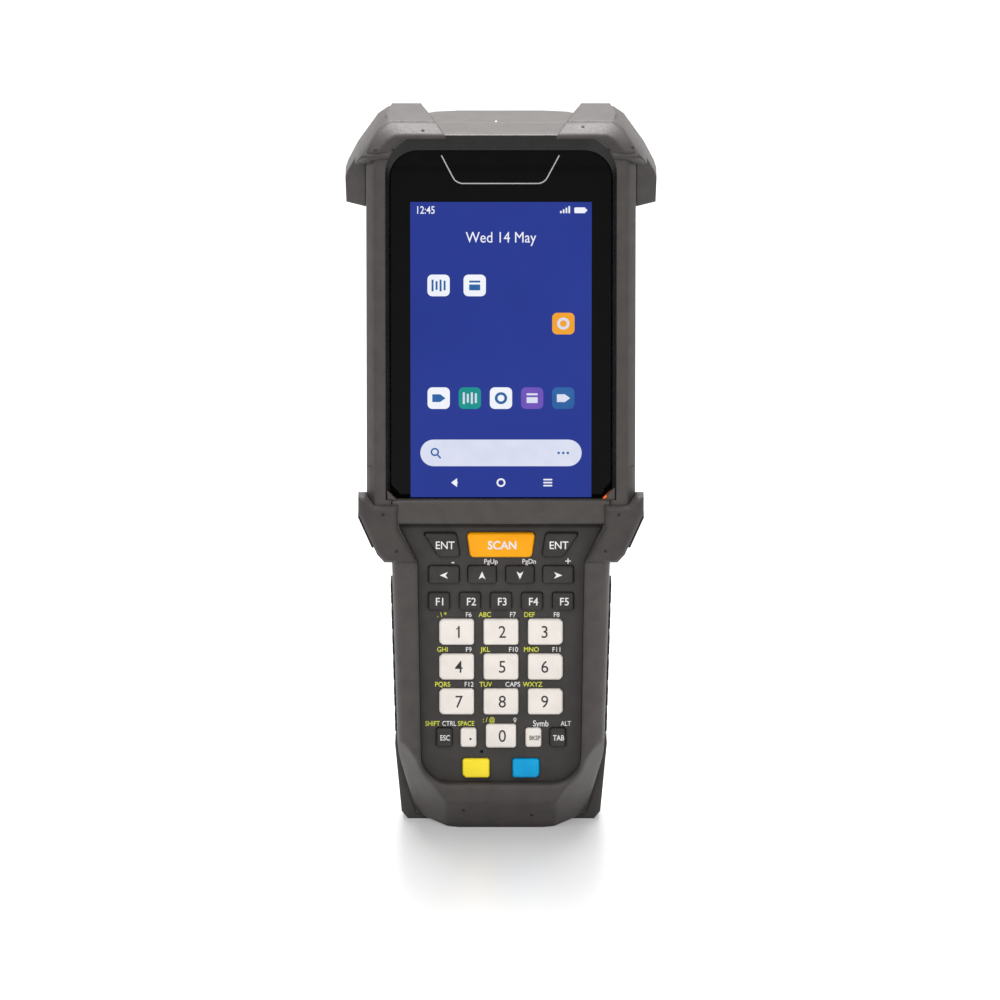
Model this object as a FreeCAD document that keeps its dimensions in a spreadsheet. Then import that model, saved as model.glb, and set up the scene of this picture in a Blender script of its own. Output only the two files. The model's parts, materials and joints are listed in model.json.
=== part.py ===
"""Portable barcode data terminal: a rugged handheld with a display over a 28-key keypad.

The terminal stands upright. X points to the viewer's right, Y away from the viewer and Z up.
Z = 0 is the flat foot, X = 0 the middle plane, and Y = 0 the parting plane of the two shells.
Depths called "ahead" run from the parting plane towards the viewer, along -Y. Lengths are in mm.
"""

import FreeCAD, Part
import math
import os
import re

import Sketcher

Vector = FreeCAD.Vector

os.makedirs("parts", exist_ok=True)
doc = FreeCAD.newDocument("terminal")
sheet = doc.addObject("Spreadsheet::Sheet", "sizes")

SIZES = {
    # Case outline, seen from the front
    "case_height": 220.6,
    "head_width": 82.0,
    "head_base": 104.0,
    "waist_height": 86.0,
    "waist_width": 66.8,
    "heel_height": 24.0,
    "heel_width": 63.2,
    "chin_height": 1.6,
    "chin_width": 52.0,
    "foot_width": 26.0,
    # Case depths, ahead of and behind the parting plane
    "front_depth": 15.5,
    "grip_depth": 13.5,
    "flank_depth": 9.5,
    "hump_depth": 17.0,
    "wall": 2.2,
    "lap": 1.0,
    "fit_gap": 0.05,
    # Edge forms of the case
    "head_bevel_side": 2.5,
    "head_bevel_front": 3.5,
    "head_bevel_back": 4.0,
    "head_corner_cut": 10.0,
    "chin_round": 5.0,
    "heel_round": 30.0,
    "waist_round": 8.0,
    "grip_round": 4.5,
    "grip_back_round": 6.0,
    "chin_face_height": 9.7,
    "chin_face_width": 33.0,
    "chin_facet_reach": 17.5,
    "chin_facet_rise": 26.3,
    "chin_lip_height": 1.1,
    "chin_lip_depth": 9.3,
    "neck_low": 104.5,
    "neck_high": 116.0,
    # Hump behind the head
    "hump_width": 54.0,
    "hump_shoulder_width": 40.0,
    "hump_crown_width": 18.0,
    "hump_shoulder_depth": 14.8,
    "hump_foot": 163.0,
    "hump_heel": 176.0,
    "hump_brow": 205.0,
    "hump_top_depth": 16.2,
    # Display window
    "glass_width": 67.4,
    "glass_bottom": 103.2,
    "glass_top": 215.3,
    "glass_thickness": 1.5,
    "glass_front": 13.1,
    "glass_top_round": 8.5,
    "glass_gap": 0.3,
    "bezel_side": 1.5,
    "bezel_round": 12.0,
    "bezel_floor": 13.9,
    "gasket_thickness": 0.3,
    "gasket_width": 1.1,
    "module_width": 60.4,
    "module_bottom": 104.7,
    "module_top": 206.0,
    "module_thickness": 2.6,
    "module_gap": 0.3,
    "ledge_thickness": 1.2,
    "light_size": 2.6,
    "light_thickness": 0.6,
    # Strip between the display and the keypad
    "strip_width": 66.6,
    "strip_bottom": 98.3,
    "strip_top": 105.9,
    "strip_back": 13.2,
    "strip_gap": 0.15,
    "strip_edge": 0.6,
    # Keypad panel
    "panel_bottom": 15.5,
    "panel_top": 98.2,
    "panel_low_width": 48.6,
    "panel_mid_width": 50.8,
    "panel_mid_height": 85.5,
    "panel_top_width": 62.0,
    "panel_flare_height": 97.0,
    "panel_round": 8.6,
    "panel_front": 12.0,
    "panel_thickness": 1.6,
    "panel_gap": 0.15,
    "panel_ledge": 0.9,
    # Keys
    "key_rise": 1.3,
    "key_gap": 0.2,
    "key_travel": 0.6,
    "key_edge": 0.4,
    "key_flange": 0.5,
    "key_flange_thickness": 0.6,
    "key_flange_gap": 0.1,
    "plunger_width": 3.0,
    "key_round": 0.8,
    "key_round_large": 1.6,
    "key_round_slanted": 1.2,
    "digit_width": 10.6,
    "digit_height": 8.0,
    "digit_pitch": 13.6,
    "digit_row": 63.3,
    "digit_row_pitch": 11.1,
    "zero_width": 9.2,
    "zero_height": 7.3,
    "zero_row": 30.15,
    "small_width": 4.8,
    "small_height": 5.9,
    "small_row": 29.65,
    "small_inner_place": 9.95,
    "small_outer_place": 17.45,
    "colour_width": 8.2,
    "colour_height": 5.9,
    "colour_row": 19.85,
    "colour_place": 7.65,
    "function_width": 6.5,
    "function_height": 5.4,
    "function_pitch": 9.5,
    "function_row": 73.0,
    "arrow_width": 8.7,
    "arrow_outer_width": 9.4,
    "arrow_height": 5.5,
    "arrow_place": 5.8,
    "arrow_outer_place": 17.5,
    "arrow_row": 81.45,
    "scan_row": 90.9,
    "scan_height": 7.6,
    "scan_top_width": 20.8,
    "scan_low_width": 18.8,
    "enter_inner_top": 13.7,
    "enter_inner_low": 12.5,
    "enter_outer_top": 23.8,
    "enter_outer_low": 19.1,
    # Layers behind the keys
    "mat_gap": 0.15,
    "mat_thickness": 0.6,
    "mat_hole_width": 4.0,
    "mat_margin": 2.0,
    "mat_rim": 1.2,
    "board_front": 7.0,
    "board_thickness": 1.2,
    "board_margin": 2.5,
    "dome_width": 5.0,
    "dome_height": 0.35,
    "dome_gap": 0.05,
    "microphone_width": 1.1,
    "microphone_place": 5.9,
    "microphone_height": 24.95,
    # Main board and what sits behind it
    "main_board_width": 54.0,
    "main_board_bottom": 27.0,
    "main_board_top": 212.0,
    "main_board_back": 2.6,
    "main_board_thickness": 1.2,
    "standoff_width": 4.0,
    "standoff_place": 22.0,
    "hollow_bottom": 8.0,
    "hollow_low_width": 42.0,
    # Shell fastenings
    "screw_head_width": 3.8,
    "screw_head_thickness": 1.3,
    "screw_sink": 0.2,
    "screw_shank_width": 2.0,
    "screw_reach": 6.0,
    "screw_gap": 0.05,
    "screw_head_gap": 0.1,
    "boss_width": 5.6,
    "head_screw_place": 34.4,
    "head_screw_low": 119.0,
    "head_screw_high": 190.0,
    "foot_screw_place": 19.0,
    "foot_screw_height": 5.0,
    # Seal between the shells
    "seal_inset": 1.1,
    "seal_width": 0.7,
    "seal_height": 1.0,
    # Battery and its latch
    "battery_width": 50.0,
    "battery_bottom": 9.2,
    "battery_top": 92.8,
    "battery_front": 4.6,
    "battery_back": 14.6,
    "battery_round": 3.0,
    "battery_gap": 0.2,
    "bay_floor": 1.5,
    "latch_width": 14.0,
    "latch_height": 4.5,
    "latch_bottom": 96.6,
    "latch_travel": 2.5,
    "latch_proud": 0.6,
    "latch_thickness": 2.0,
    "tongue_width": 6.0,
    "tongue_reach": 5.2,
    "tongue_thickness": 0.9,
    "groove_width": 10.5,
    "groove_height": 0.6,
    "groove_depth": 0.3,
    "groove_pitch": 0.75,
    # Top bumpers
    "bumper_width": 94.8,
    "bumper_top": 223.8,
    "bumper_front": 17.0,
    "bumper_back": 9.0,
    "bumper_peak_width": 74.8,
    "bumper_peak": 221.6,
    "bumper_side_width": 87.2,
    "bumper_side_height": 212.8,
    "bumper_ear_width": 93.2,
    "bumper_ear_height": 207.0,
    "bumper_ear_low": 204.6,
    "bumper_bottom": 197.0,
    "bumper_foot_width": 94.2,
    "bumper_inner_place": 16.5,
    "bumper_crest_place": 20.2,
    "bumper_slope_front": 9.9,
    "bumper_slope_drop": 9.2,
    "bumper_inner_drop": 4.5,
    "bumper_fold": 214.0,
    "bumper_fold_low": 211.3,
    "bumper_fold_depth": 13.4,
    "bumper_wing_front": 10.2,
    "bumper_wing_bevel": 6.5,
    "bumper_corner_cut": 3.2,
    "crown_back": 12.5,
    "crown_step": 2.2,
    "crown_taper": 4.2,
    # Shoulder bumpers and their scan triggers
    "shoulder_front": 17.0,
    "shoulder_back": 8.5,
    "shoulder_out": 43.6,
    "shoulder_high": 101.8,
    "shoulder_wing_top": 107.0,
    "shoulder_wing_front": 10.0,
    "shoulder_wing_low": 101.5,
    "shoulder_slope": 14.4,
    "shoulder_tilt": 23.7,
    "shoulder_foot": 86.2,
    "shoulder_foot_place": 35.6,
    "shoulder_inner_place": 31.6,
    "shoulder_brow": 104.4,
    "shoulder_inner_edge": 0.4,
    "shoulder_bevel": 1.2,
    "trigger_place": 7.6,
    "trigger_length": 10.8,
    "trigger_width": 9.0,
    "trigger_proud": 1.2,
    "trigger_ahead": 6.5,
    "trigger_body": 1.3,
    "trigger_travel": 0.6,
    "trigger_gap": 0.15,
    "stem_width": 2.0,
    "stem_place": 3.0,
    "stem_reach": 5.0,
    # Side grips: ribs in pairs
    "grip_top": 77.6,
    "grip_bottom": 27.9,
    "grip_front": 5.0,
    "grip_back": 6.0,
    "grip_recess": 0.9,
    "grip_base": 0.5,
    "grip_proud": 0.75,
    "rib_first": 76.1,
    "rib_height": 2.64,
    "rib_gap": 0.73,
    "rib_pair_pitch": 8.15,
    # Rear corner guards
    "corner_top": 29.2,
    "corner_width": 65.2,
    "corner_high": 24.0,
    "corner_low_width": 61.2,
    "corner_low": 2.4,
    "corner_foot_width": 57.2,
    "corner_depth": 12.6,
    "corner_start": 0.3,
    # Dock contacts under the foot
    "contact_pitch": 2.5,
    "contact_width": 1.3,
    "contact_length": 3.4,
    "contact_place": 6.5,
    "contact_sink": 0.4,
    "contact_depth": 3.0,
    # Scan engine, camera, speaker and vibration motor
    "window_width": 26.0,
    "window_bottom": 206.0,
    "window_top": 216.4,
    "window_back": 16.0,
    "window_thickness": 0.9,
    "window_gap": 0.1,
    "window_ledge": 1.2,
    "engine_width": 24.0,
    "engine_bottom": 204.5,
    "engine_height": 11.6,
    "engine_gap": 0.6,
    "engine_lens_place": 6.0,
    "engine_lens_width": 5.8,
    "engine_light_width": 3.9,
    "engine_lens_depth": 0.6,
    "camera_height": 148.0,
    "camera_width": 7.4,
    "camera_flange_width": 10.4,
    "camera_flange_thickness": 3.0,
    "camera_sink": 0.3,
    "camera_gap": 0.1,
    "flash_drop": 9.5,
    "flash_width": 3.4,
    "speaker_place": 18.0,
    "speaker_height": 132.0,
    "speaker_width": 13.0,
    "speaker_thickness": 3.6,
    "speaker_slot_width": 8.0,
    "speaker_slot_height": 1.0,
    "speaker_slot_pitch": 2.4,
    "motor_width": 9.0,
    "motor_thickness": 3.2,
}


def fill_sheet():
    """Write each size into the sheet under its own name."""
    for row, (name, value) in enumerate(SIZES.items(), start=1):
        sheet.set(f"A{row}", name)
        sheet.set(f"B{row}", str(value))
        sheet.setAlias(f"B{row}", name)
    doc.recompute()


def linked(expression):
    """Tie every size named in an expression to its cell."""
    return re.sub(
        r"[a-z_][a-z0-9_]*",
        lambda word: "sizes." + word.group() if word.group() in SIZES else word.group(),
        str(expression),
    )


def amount(expression):
    """Work an expression of sizes out as a number."""
    return float(sheet.evalExpression(linked(expression)))


def new_body(name):
    """Start a body under a label of its own."""
    body = doc.addObject("PartDesign::Body", name)
    body.Label = name
    return body


def new_sketch(body, role, offset):
    """Start a sketch parallel to one of the body's own origin planes."""
    plane = next(feature for feature in body.Origin.OriginFeatures if feature.Role == role)
    sketch = body.newObject("Sketcher::SketchObject", body.Name + "_sketch")
    sketch.AttachmentSupport = [(plane, "")]
    sketch.MapMode = "FlatFace"
    sketch.setExpression("AttachmentOffset.Base.z", linked(offset))
    return sketch


def rounding(before, corner, after, radius):
    """Give the start, middle and end of the arc that rounds a corner, or the bare corner."""
    if radius <= 0:
        return corner, None, corner
    back = (before - corner).normalize()
    ahead = (after - corner).normalize()
    half_turn = back.getAngle(ahead) / 2
    cut = radius / math.tan(half_turn)
    inward = (back + ahead).normalize()
    middle = corner + inward * (radius / math.sin(half_turn) - radius)
    return corner + back * cut, middle, corner + ahead * cut


def draw_outline(sketch, corners):
    """Draw a closed outline through corners, each (across, up) or (across, up, radius)."""
    points = [Vector(amount(corner[0]), amount(corner[1]), 0) for corner in corners]
    radii = [amount(corner[2]) if len(corner) > 2 else 0.0 for corner in corners]
    count = len(corners)
    arcs = [
        rounding(points[i - 1], points[i], points[(i + 1) % count], radii[i]) for i in range(count)
    ]
    lines = [
        sketch.addGeometry(Part.LineSegment(arcs[i][2], arcs[(i + 1) % count][0]), False)
        for i in range(count)
    ]
    rules = []
    sizes = []

    def pin(kind, geometry, point, index, value):
        """Hold one coordinate of a point at the value that its expression gives."""
        rules.append(Sketcher.Constraint(kind, -1, 1, geometry, point, value))
        sizes.append((len(rules) - 1, corners[index][0 if kind == "DistanceX" else 1]))

    for i in range(count):
        before, after = lines[i - 1], lines[i]
        if radii[i] <= 0:
            rules.append(Sketcher.Constraint("Coincident", before, 2, after, 1))
            pin("DistanceX", after, 1, i, points[i].x)
            pin("DistanceY", after, 1, i, points[i].y)
            continue
        start, middle, end = arcs[i]
        leftward = (middle - start).cross(end - middle).z > 0
        turn = Part.Arc(start, middle, end) if leftward else Part.Arc(end, middle, start)
        arc = sketch.addGeometry(turn, False)
        first = 1 if leftward else 2
        rules.append(Sketcher.Constraint("Tangent", before, 2, arc, first))
        rules.append(Sketcher.Constraint("Tangent", arc, 3 - first, after, 1))
        rules.append(Sketcher.Constraint("Radius", arc, radii[i]))
        sizes.append((len(rules) - 1, corners[i][2]))
        mark = sketch.addGeometry(Part.Point(points[i]), True)
        pin("DistanceX", mark, 1, i, points[i].x)
        pin("DistanceY", mark, 1, i, points[i].y)
        rules.append(Sketcher.Constraint("PointOnObject", mark, 1, before))
        rules.append(Sketcher.Constraint("PointOnObject", mark, 1, after))
    set_rules(sketch, rules, sizes)


def set_rules(sketch, rules, sizes):
    """Add constraints to a sketch and tie those with a size to the sheet."""
    first = sketch.ConstraintCount
    sketch.addConstraint(rules)
    for index, expression in sizes:
        sketch.setExpression(f"Constraints[{first + index}]", linked(expression))


def add(body, role, shapes, start, end):
    """Pad shapes along the plane's normal, from start to end."""
    sketch = new_sketch(body, role, start)
    for shape in shapes:
        draw_outline(sketch, shape)
    pad = body.newObject("PartDesign::Pad", body.Name + "_pad")
    pad.Profile = sketch
    pad.setExpression("Length", linked(f"({end}) - ({start})"))
    return pad


def cut(body, role, shapes, start, end):
    """Pocket shapes out of the body, from end back to start along the plane's normal."""
    sketch = new_sketch(body, role, end)
    for shape in shapes:
        draw_outline(sketch, shape)
    pocket = body.newObject("PartDesign::Pocket", body.Name + "_pocket")
    pocket.Profile = sketch
    pocket.setExpression("Length", linked(f"({end}) - ({start})"))
    return pocket


def dress(body, kind, base, choose, **sizes):
    """Fillet or chamfer the edges of a feature that a test picks."""
    doc.recompute()
    names = [f"Edge{i}" for i, edge in enumerate(base.Shape.Edges, 1) if choose(edge)]
    feature = body.newObject("PartDesign::" + kind, body.Name + "_" + kind.lower())
    feature.Base = (base, names)
    for name, expression in sizes.items():
        feature.setExpression(name, linked(expression))
    return feature


def at_ahead(edge, ahead):
    """Say whether an edge lies all in one plane at a distance ahead of the parting plane."""
    box = edge.BoundBox
    place = -amount(ahead)
    return abs(box.YMin - place) < TOUCH and abs(box.YMax - place) < TOUCH


def mirrored(corners):
    """Complete a right-hand half outline with its mirror image on the left."""
    left = [(f"-({corner[0]})",) + tuple(corner[1:]) for corner in reversed(corners)]
    return list(corners) + left


def flipped(corners):
    """Turn a right-hand outline into its mirror image."""
    return [(f"-({corner[0]})",) + tuple(corner[1:]) for corner in reversed(corners)]


def facet(radius, grow="0"):
    """Leg of the slanted facet that stands for a corner's round, grown with its outline."""
    return f"((2 - sqrt(2)) * (({radius}) + ({grow})))"


def rectangle(across, up, width, height, rounds=None, grow="0"):
    """Give an upright rectangle from the lower left, its corners faceted where rounds are given."""
    half = f"(({width}) / 2 + ({grow}))"
    tall = f"(({height}) / 2 + ({grow}))"
    corners = []
    for index, (side, rise) in enumerate((("-", "-"), ("+", "-"), ("+", "+"), ("-", "+"))):
        if rounds is None:
            corners.append((f"({across}) {side} {half}", f"({up}) {rise} {tall}"))
            continue
        leg = facet(rounds[index], grow)
        along = (f"({across}) {side} ({half} - {leg})", f"({up}) {rise} {tall}")
        upright = (f"({across}) {side} {half}", f"({up}) {rise} ({tall} - {leg})")
        corners += [upright, along] if side == rise else [along, upright]
    return corners


def polygon(across, up, width, sides):
    """Give the corners of a round form that is kept to a few sides."""
    return [
        (f"({across}) + ({width}) / 2 * cos({360 / sides * step})",
         f"({up}) + ({width}) / 2 * sin({360 / sides * step})")
        for step in range(sides)
    ]


def band(left, right, bottom, top, *radius):
    """Give the corners of an upright rectangle between four sides."""
    return [
        (left, bottom, *radius),
        (right, bottom, *radius),
        (right, top, *radius),
        (left, top, *radius),
    ]


def prism(name, across, up, start, end, width, sides):
    """Make a bar of a few sides along the depth, between two distances ahead of Y = 0."""
    bar = doc.addObject("Part::Prism", name)
    bar.Polygon = sides
    bar.setExpression("Circumradius", linked(f"({width}) / 2"))
    bar.setExpression("Height", linked(f"({end}) - ({start})"))
    bar.Placement.Rotation = FreeCAD.Rotation(Vector(1, 0, 0), 90)
    bar.setExpression(".Placement.Base.x", linked(across))
    bar.setExpression(".Placement.Base.y", linked(f"-({start})"))
    bar.setExpression(".Placement.Base.z", linked(up))
    return bar


def boolean(kind, name, *operands):
    """Combine whole shapes: Cut takes a base and a tool, the others take any number."""
    result = doc.addObject("Part::" + kind, name)
    result.Label = name
    if kind == "Cut":
        result.Base, result.Tool = operands
    elif kind == "Compound":
        result.Links = list(operands)
    else:
        result.Shapes = list(operands)
    return result


def mirror(name, source):
    """Make the left-hand twin of a right-hand piece."""
    twin = doc.addObject("Part::Mirroring", name)
    twin.Label = name
    twin.Source = source
    twin.Base = Vector(0, 0, 0)
    twin.Normal = Vector(1, 0, 0)
    return twin


fill_sheet()


# How close two places in mm count as the same when edges are picked
TOUCH = 1e-4
# Sides of domes, of small round forms and of round forms that show
DOME_SIDES = 6
SMALL_SIDES = 8
ROUND_SIDES = 12
# Pairs of ribs on each side grip, and keys cut from the panel by one sketch
RIB_PAIRS = 6
SKETCH_KEYS = 7


# Case forms

def grip_outline(grow="0", rounded=True):
    """Outline of the grip with its flare up to the head, grown outwards."""
    chin = (f"chin_width / 2 + ({grow})", f"chin_height - ({grow})")
    if rounded:
        chin += (f"chin_round + ({grow})",)
    return mirrored([
        ("foot_width / 2", f"-({grow})"),
        chin,
        (f"heel_width / 2 + ({grow})", "heel_height", "heel_round"),
        (f"waist_width / 2 + ({grow})", "waist_height", "waist_round"),
        (f"head_width / 2 + ({grow})", "head_base", "waist_round"),
        (f"head_width / 2 + ({grow})", "neck_high"),
    ])


def front_plan(grow="0"):
    """Plan of the head ahead of the parting plane, as X and Y."""
    side = f"(head_width / 2 + ({grow}))"
    front = f"-(front_depth + ({grow}))"
    return [
        (f"-{side}", "0"),
        (f"-{side}", f"{front} + head_bevel_front"),
        (f"-{side} + head_bevel_side", front),
        (f"{side} - head_bevel_side", front),
        (side, f"{front} + head_bevel_front"),
        (side, "0"),
    ]


def back_plan(grow="0"):
    """Plan of the head behind the parting plane, as X and Y."""
    side = f"(head_width / 2 + ({grow}))"
    back = f"(flank_depth + ({grow}))"
    return [
        (f"-{side}", "0"),
        (side, "0"),
        (side, f"{back} - head_bevel_back"),
        (f"{side} - head_bevel_back", back),
        (f"-{side} + head_bevel_back", back),
        (f"-{side}", f"{back} - head_bevel_back"),
    ]


def cut_head_corners(body, start, end, grow="0"):
    """Slant off both top corners of the head."""
    side = f"(head_width / 2 + ({grow}))"
    top = f"(case_height + ({grow}))"
    corner = [
        (f"{side} - head_corner_cut", f"{top}"),
        (f"{side} - head_corner_cut", f"{top} + wall"),
        (f"{side} + wall", f"{top} + wall"),
        (f"{side} + wall", f"{top} - head_corner_cut"),
        (side, f"{top} - head_corner_cut"),
    ]
    return cut(body, "XZ_Plane", [corner, flipped(corner)], start, end)


def form_front(body, grow="0"):
    """Build the solid outer form of the case ahead of the parting plane."""
    front = f"(front_depth + ({grow}))"
    grip = add(body, "XZ_Plane", [grip_outline(grow)], "0", front)
    neck = amount("neck_high")
    dress(
        body, "Fillet", grip,
        lambda edge: at_ahead(edge, front) and edge.BoundBox.ZMin < neck - TOUCH,
        Radius="grip_round",
    )
    add(body, "XY_Plane", [front_plan(grow)], "head_base - lap", f"case_height + ({grow})")
    return cut_head_corners(body, "-lap", f"{front} + wall", grow)


def cut_chin(body):
    """Cut the sloping face under the chin, and the facets beside it that run back to the foot."""
    slope = "((front_depth - chin_lip_depth) / (chin_face_height - chin_lip_height))"
    sections = []
    for side, reach, rise in (
        ("-", "chin_facet_reach", "chin_facet_rise"), ("-", "0", "0"),
        ("", "0", "0"), ("", "chin_facet_reach", "chin_facet_rise"),
    ):
        sketch = new_sketch(body, "YZ_Plane", f"{side}(chin_face_width / 2 + {reach})")
        draw_outline(sketch, [
            ("-front_depth", f"chin_face_height + {rise}"),
            (f"{slope} * {rise} - chin_lip_depth", "chin_lip_height"),
            (f"{slope} * {rise} - chin_lip_depth", "-wall"),
            ("-front_depth - wall", "-wall"),
            ("-front_depth - wall", f"chin_face_height + {rise}"),
        ])
        sections.append(sketch)
    loft = body.newObject("PartDesign::SubtractiveLoft", body.Name + "_chin")
    loft.Profile = sections[0]
    loft.Ruled = True
    loft.Sections = sections[1:]
    return loft


def form_back(body, grow="0"):
    """Build the solid outer form of the case behind the parting plane."""
    back = f"(grip_depth + ({grow}))"
    grip = add(body, "XZ_Plane", [grip_outline(grow, rounded=False)], f"-{back}", "0")
    chin = amount("chin_height")
    neck = amount("neck_high")
    dress(
        body, "Fillet", grip,
        lambda edge: at_ahead(edge, f"-{back}") and edge.BoundBox.ZMax > chin + TOUCH
        and edge.BoundBox.ZMin < neck - TOUCH,
        Radius="grip_back_round",
    )
    cut(body, "YZ_Plane", [[
        (back, "neck_low"),
        (f"flank_depth + ({grow})", "neck_high"),
        (f"flank_depth + ({grow})", "neck_high + wall"),
        (f"{back} + wall", "neck_high + wall"),
        (f"{back} + wall", "neck_low"),
    ]], "-head_width", "head_width")
    add(body, "XY_Plane", [back_plan(grow)], "head_base - lap", f"case_height + ({grow})")
    cut_head_corners(body, "-flank_depth - wall", "lap", grow)
    depth = f"(hump_depth + ({grow}))"
    add(body, "YZ_Plane", [[
        ("lap", "hump_foot"),
        ("flank_depth", "hump_foot"),
        (depth, "hump_heel"),
        (depth, "hump_brow"),
        (f"hump_top_depth + ({grow})", f"case_height + ({grow})"),
        ("lap", f"case_height + ({grow})"),
    ]], f"-hump_width / 2 - ({grow})", f"hump_width / 2 + ({grow})")
    flank = [
        (f"hump_width / 2 + ({grow})", f"flank_depth + ({grow})"),
        (f"hump_shoulder_width / 2 + ({grow})", f"hump_shoulder_depth + ({grow})"),
        ("hump_crown_width / 2", depth),
        ("hump_crown_width / 2", f"{depth} + wall"),
        ("hump_width / 2 + wall", f"{depth} + wall"),
        ("hump_width / 2 + wall", f"flank_depth + ({grow})"),
    ]
    return cut(body, "XY_Plane", [flank, flipped(flank)], "hump_foot - lap", "case_height + wall")


def window_mouth(grow="0"):
    """Outline of the display window's bevelled mouth in the front face."""
    side = f"(glass_width / 2 + bezel_side + ({grow}))"
    top = "case_height + fit_gap"
    return [
        (f"-{side}", "strip_top"),
        (side, "strip_top"),
        (side, top, "bezel_round"),
        (f"-{side}", top, "bezel_round"),
    ]


def glass_outline(grow="0"):
    """Outline of the display glass, grown on every side."""
    side = f"(glass_width / 2 + ({grow}))"
    turn = f"glass_top_round + ({grow})"
    return [
        (f"-{side}", f"glass_bottom - ({grow})"),
        (side, f"glass_bottom - ({grow})"),
        (side, f"glass_top + ({grow})", turn),
        (f"-{side}", f"glass_top + ({grow})", turn),
    ]


def module_outline(grow="0"):
    """Outline of the display module, grown on every side."""
    side = f"(module_width / 2 + ({grow}))"
    return band(f"-{side}", side, f"module_bottom - ({grow})", f"module_top + ({grow})")


def strip_outline(grow="0"):
    """Outline of the strip between display and keypad."""
    side = f"(strip_width / 2 + ({grow}))"
    return band(f"-{side}", side, f"strip_bottom - ({grow})", "strip_top")


def panel_outline(grow="0", rounded=True):
    """Outline of the keypad panel, which flares out below the strip, or of a layer behind it."""
    side = f"panel_low_width / 2 + ({grow})"
    foot = f"panel_bottom - ({grow})"
    leg = facet("panel_round", grow)
    lean = "(panel_mid_width - panel_low_width) / 2 / (panel_mid_height - panel_bottom)"
    corner = [(side, foot, f"panel_round + ({grow})")]
    if not rounded:
        corner = [(f"{side} - {leg}", foot), (f"{side} + {leg} * {lean}", f"{foot} + {leg}")]
    return mirrored(corner + [
        (f"panel_mid_width / 2 + ({grow})", "panel_mid_height"),
        (f"panel_top_width / 2 + ({grow})", "panel_flare_height"),
        (f"panel_top_width / 2 + ({grow})", f"panel_top + ({grow})"),
    ])


def head_hollow():
    """Outline of the hollow in the head, its top corners slanted like the outside."""
    return mirrored([
        ("head_width / 2 - wall", "head_base"),
        ("head_width / 2 - wall", "case_height - wall - head_corner_cut"),
        ("head_width / 2 - wall - head_corner_cut", "case_height - wall"),
    ])


def case_side(height):
    """Half width of the grip at a height between heel and waist."""
    rise = f"(({height}) - heel_height) / (waist_height - heel_height)"
    return f"(heel_width / 2 + {rise} * (waist_width - heel_width) / 2)"


def grip_band(inner, outer, bottom, top):
    """Outline of a band that follows the grip's right side, inner and outer from its surface."""
    return [
        (f"{case_side(bottom)} + ({inner})", bottom),
        (f"{case_side(bottom)} + ({outer})", bottom),
        (f"{case_side(top)} + ({outer})", top),
        (f"{case_side(top)} + ({inner})", top),
    ]


def seal_outline(inset):
    """Outline of the seal's path, set in from the edge of the shells."""
    return mirrored([
        ("foot_width / 2", f"{inset} + chin_lip_height"),
        (f"chin_width / 2 - ({inset})", f"chin_height + {inset} + chin_lip_height"),
        (f"heel_width / 2 - ({inset})", "heel_height"),
        (f"waist_width / 2 - ({inset})", "waist_height"),
        (f"head_width / 2 - ({inset})", "head_base"),
        (f"head_width / 2 - ({inset})", f"case_height - head_corner_cut - ({inset}) / 2"),
        (f"head_width / 2 - head_corner_cut - ({inset}) / 2", f"case_height - ({inset})"),
    ])


seal_outer = seal_outline("seal_inset")
seal_inner = seal_outline("seal_inset + seal_width")

head_screws = [
    (f"{side}head_screw_place", height)
    for side in ("-", "")
    for height in ("head_screw_low", "head_screw_high")
]
foot_screws = [(f"{side}foot_screw_place", "foot_screw_height") for side in ("-", "")]
standoffs = [
    (f"{side}standoff_place", height)
    for side in ("-", "")
    for height in (
        "main_board_bottom + standoff_width",
        "head_base + standoff_width",
        "main_board_top - standoff_width - hump_brow + hump_foot",
    )
]

panel_back = "(panel_front - panel_thickness)"
flange_front = f"({panel_back} - key_flange_gap)"
flange_back = f"({flange_front} - key_flange_thickness)"
mat_front = f"({flange_back} - key_travel - mat_gap)"
mat_back = f"({mat_front} - mat_thickness)"
plunger_back = "(board_front + dome_height + dome_gap + key_travel)"
glass_back = "(glass_front - glass_thickness)"
ledge_front = f"({glass_back} - gasket_thickness)"
ledge_back = f"({ledge_front} - ledge_thickness)"


# Shoulder bumper line, which its trigger follows

def slope_point(along, out):
    """Place a point by its way down the right shoulder's slope and its height off the slope."""
    return (
        f"shoulder_out - ({along}) * sin(shoulder_tilt) + ({out}) * cos(shoulder_tilt)",
        f"shoulder_high - ({along}) * cos(shoulder_tilt) - ({out}) * sin(shoulder_tilt)",
    )


def slope_box(start, end, low, high):
    """Outline of a block on the right shoulder's slope, between two ways down and two heights."""
    return [
        slope_point(start, low),
        slope_point(end, low),
        slope_point(end, high),
        slope_point(start, high),
    ]


trigger_start = "(trigger_place - trigger_length / 2)"
trigger_end = "(trigger_place + trigger_length / 2)"
trigger_well = slope_box(
    f"{trigger_start} - trigger_gap",
    f"{trigger_end} + trigger_gap",
    "-(trigger_body + trigger_travel + trigger_gap)",
    "trigger_proud + wall",
)
stem_well = slope_box(
    "trigger_place - stem_width / 2 - trigger_gap",
    "trigger_place + stem_width / 2 + trigger_gap",
    "-(trigger_body + stem_reach + trigger_travel + trigger_gap)",
    "-trigger_body",
)
grip_well = grip_band("-grip_recess", "wall", "grip_bottom", "grip_top")


# Front shell

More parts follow.
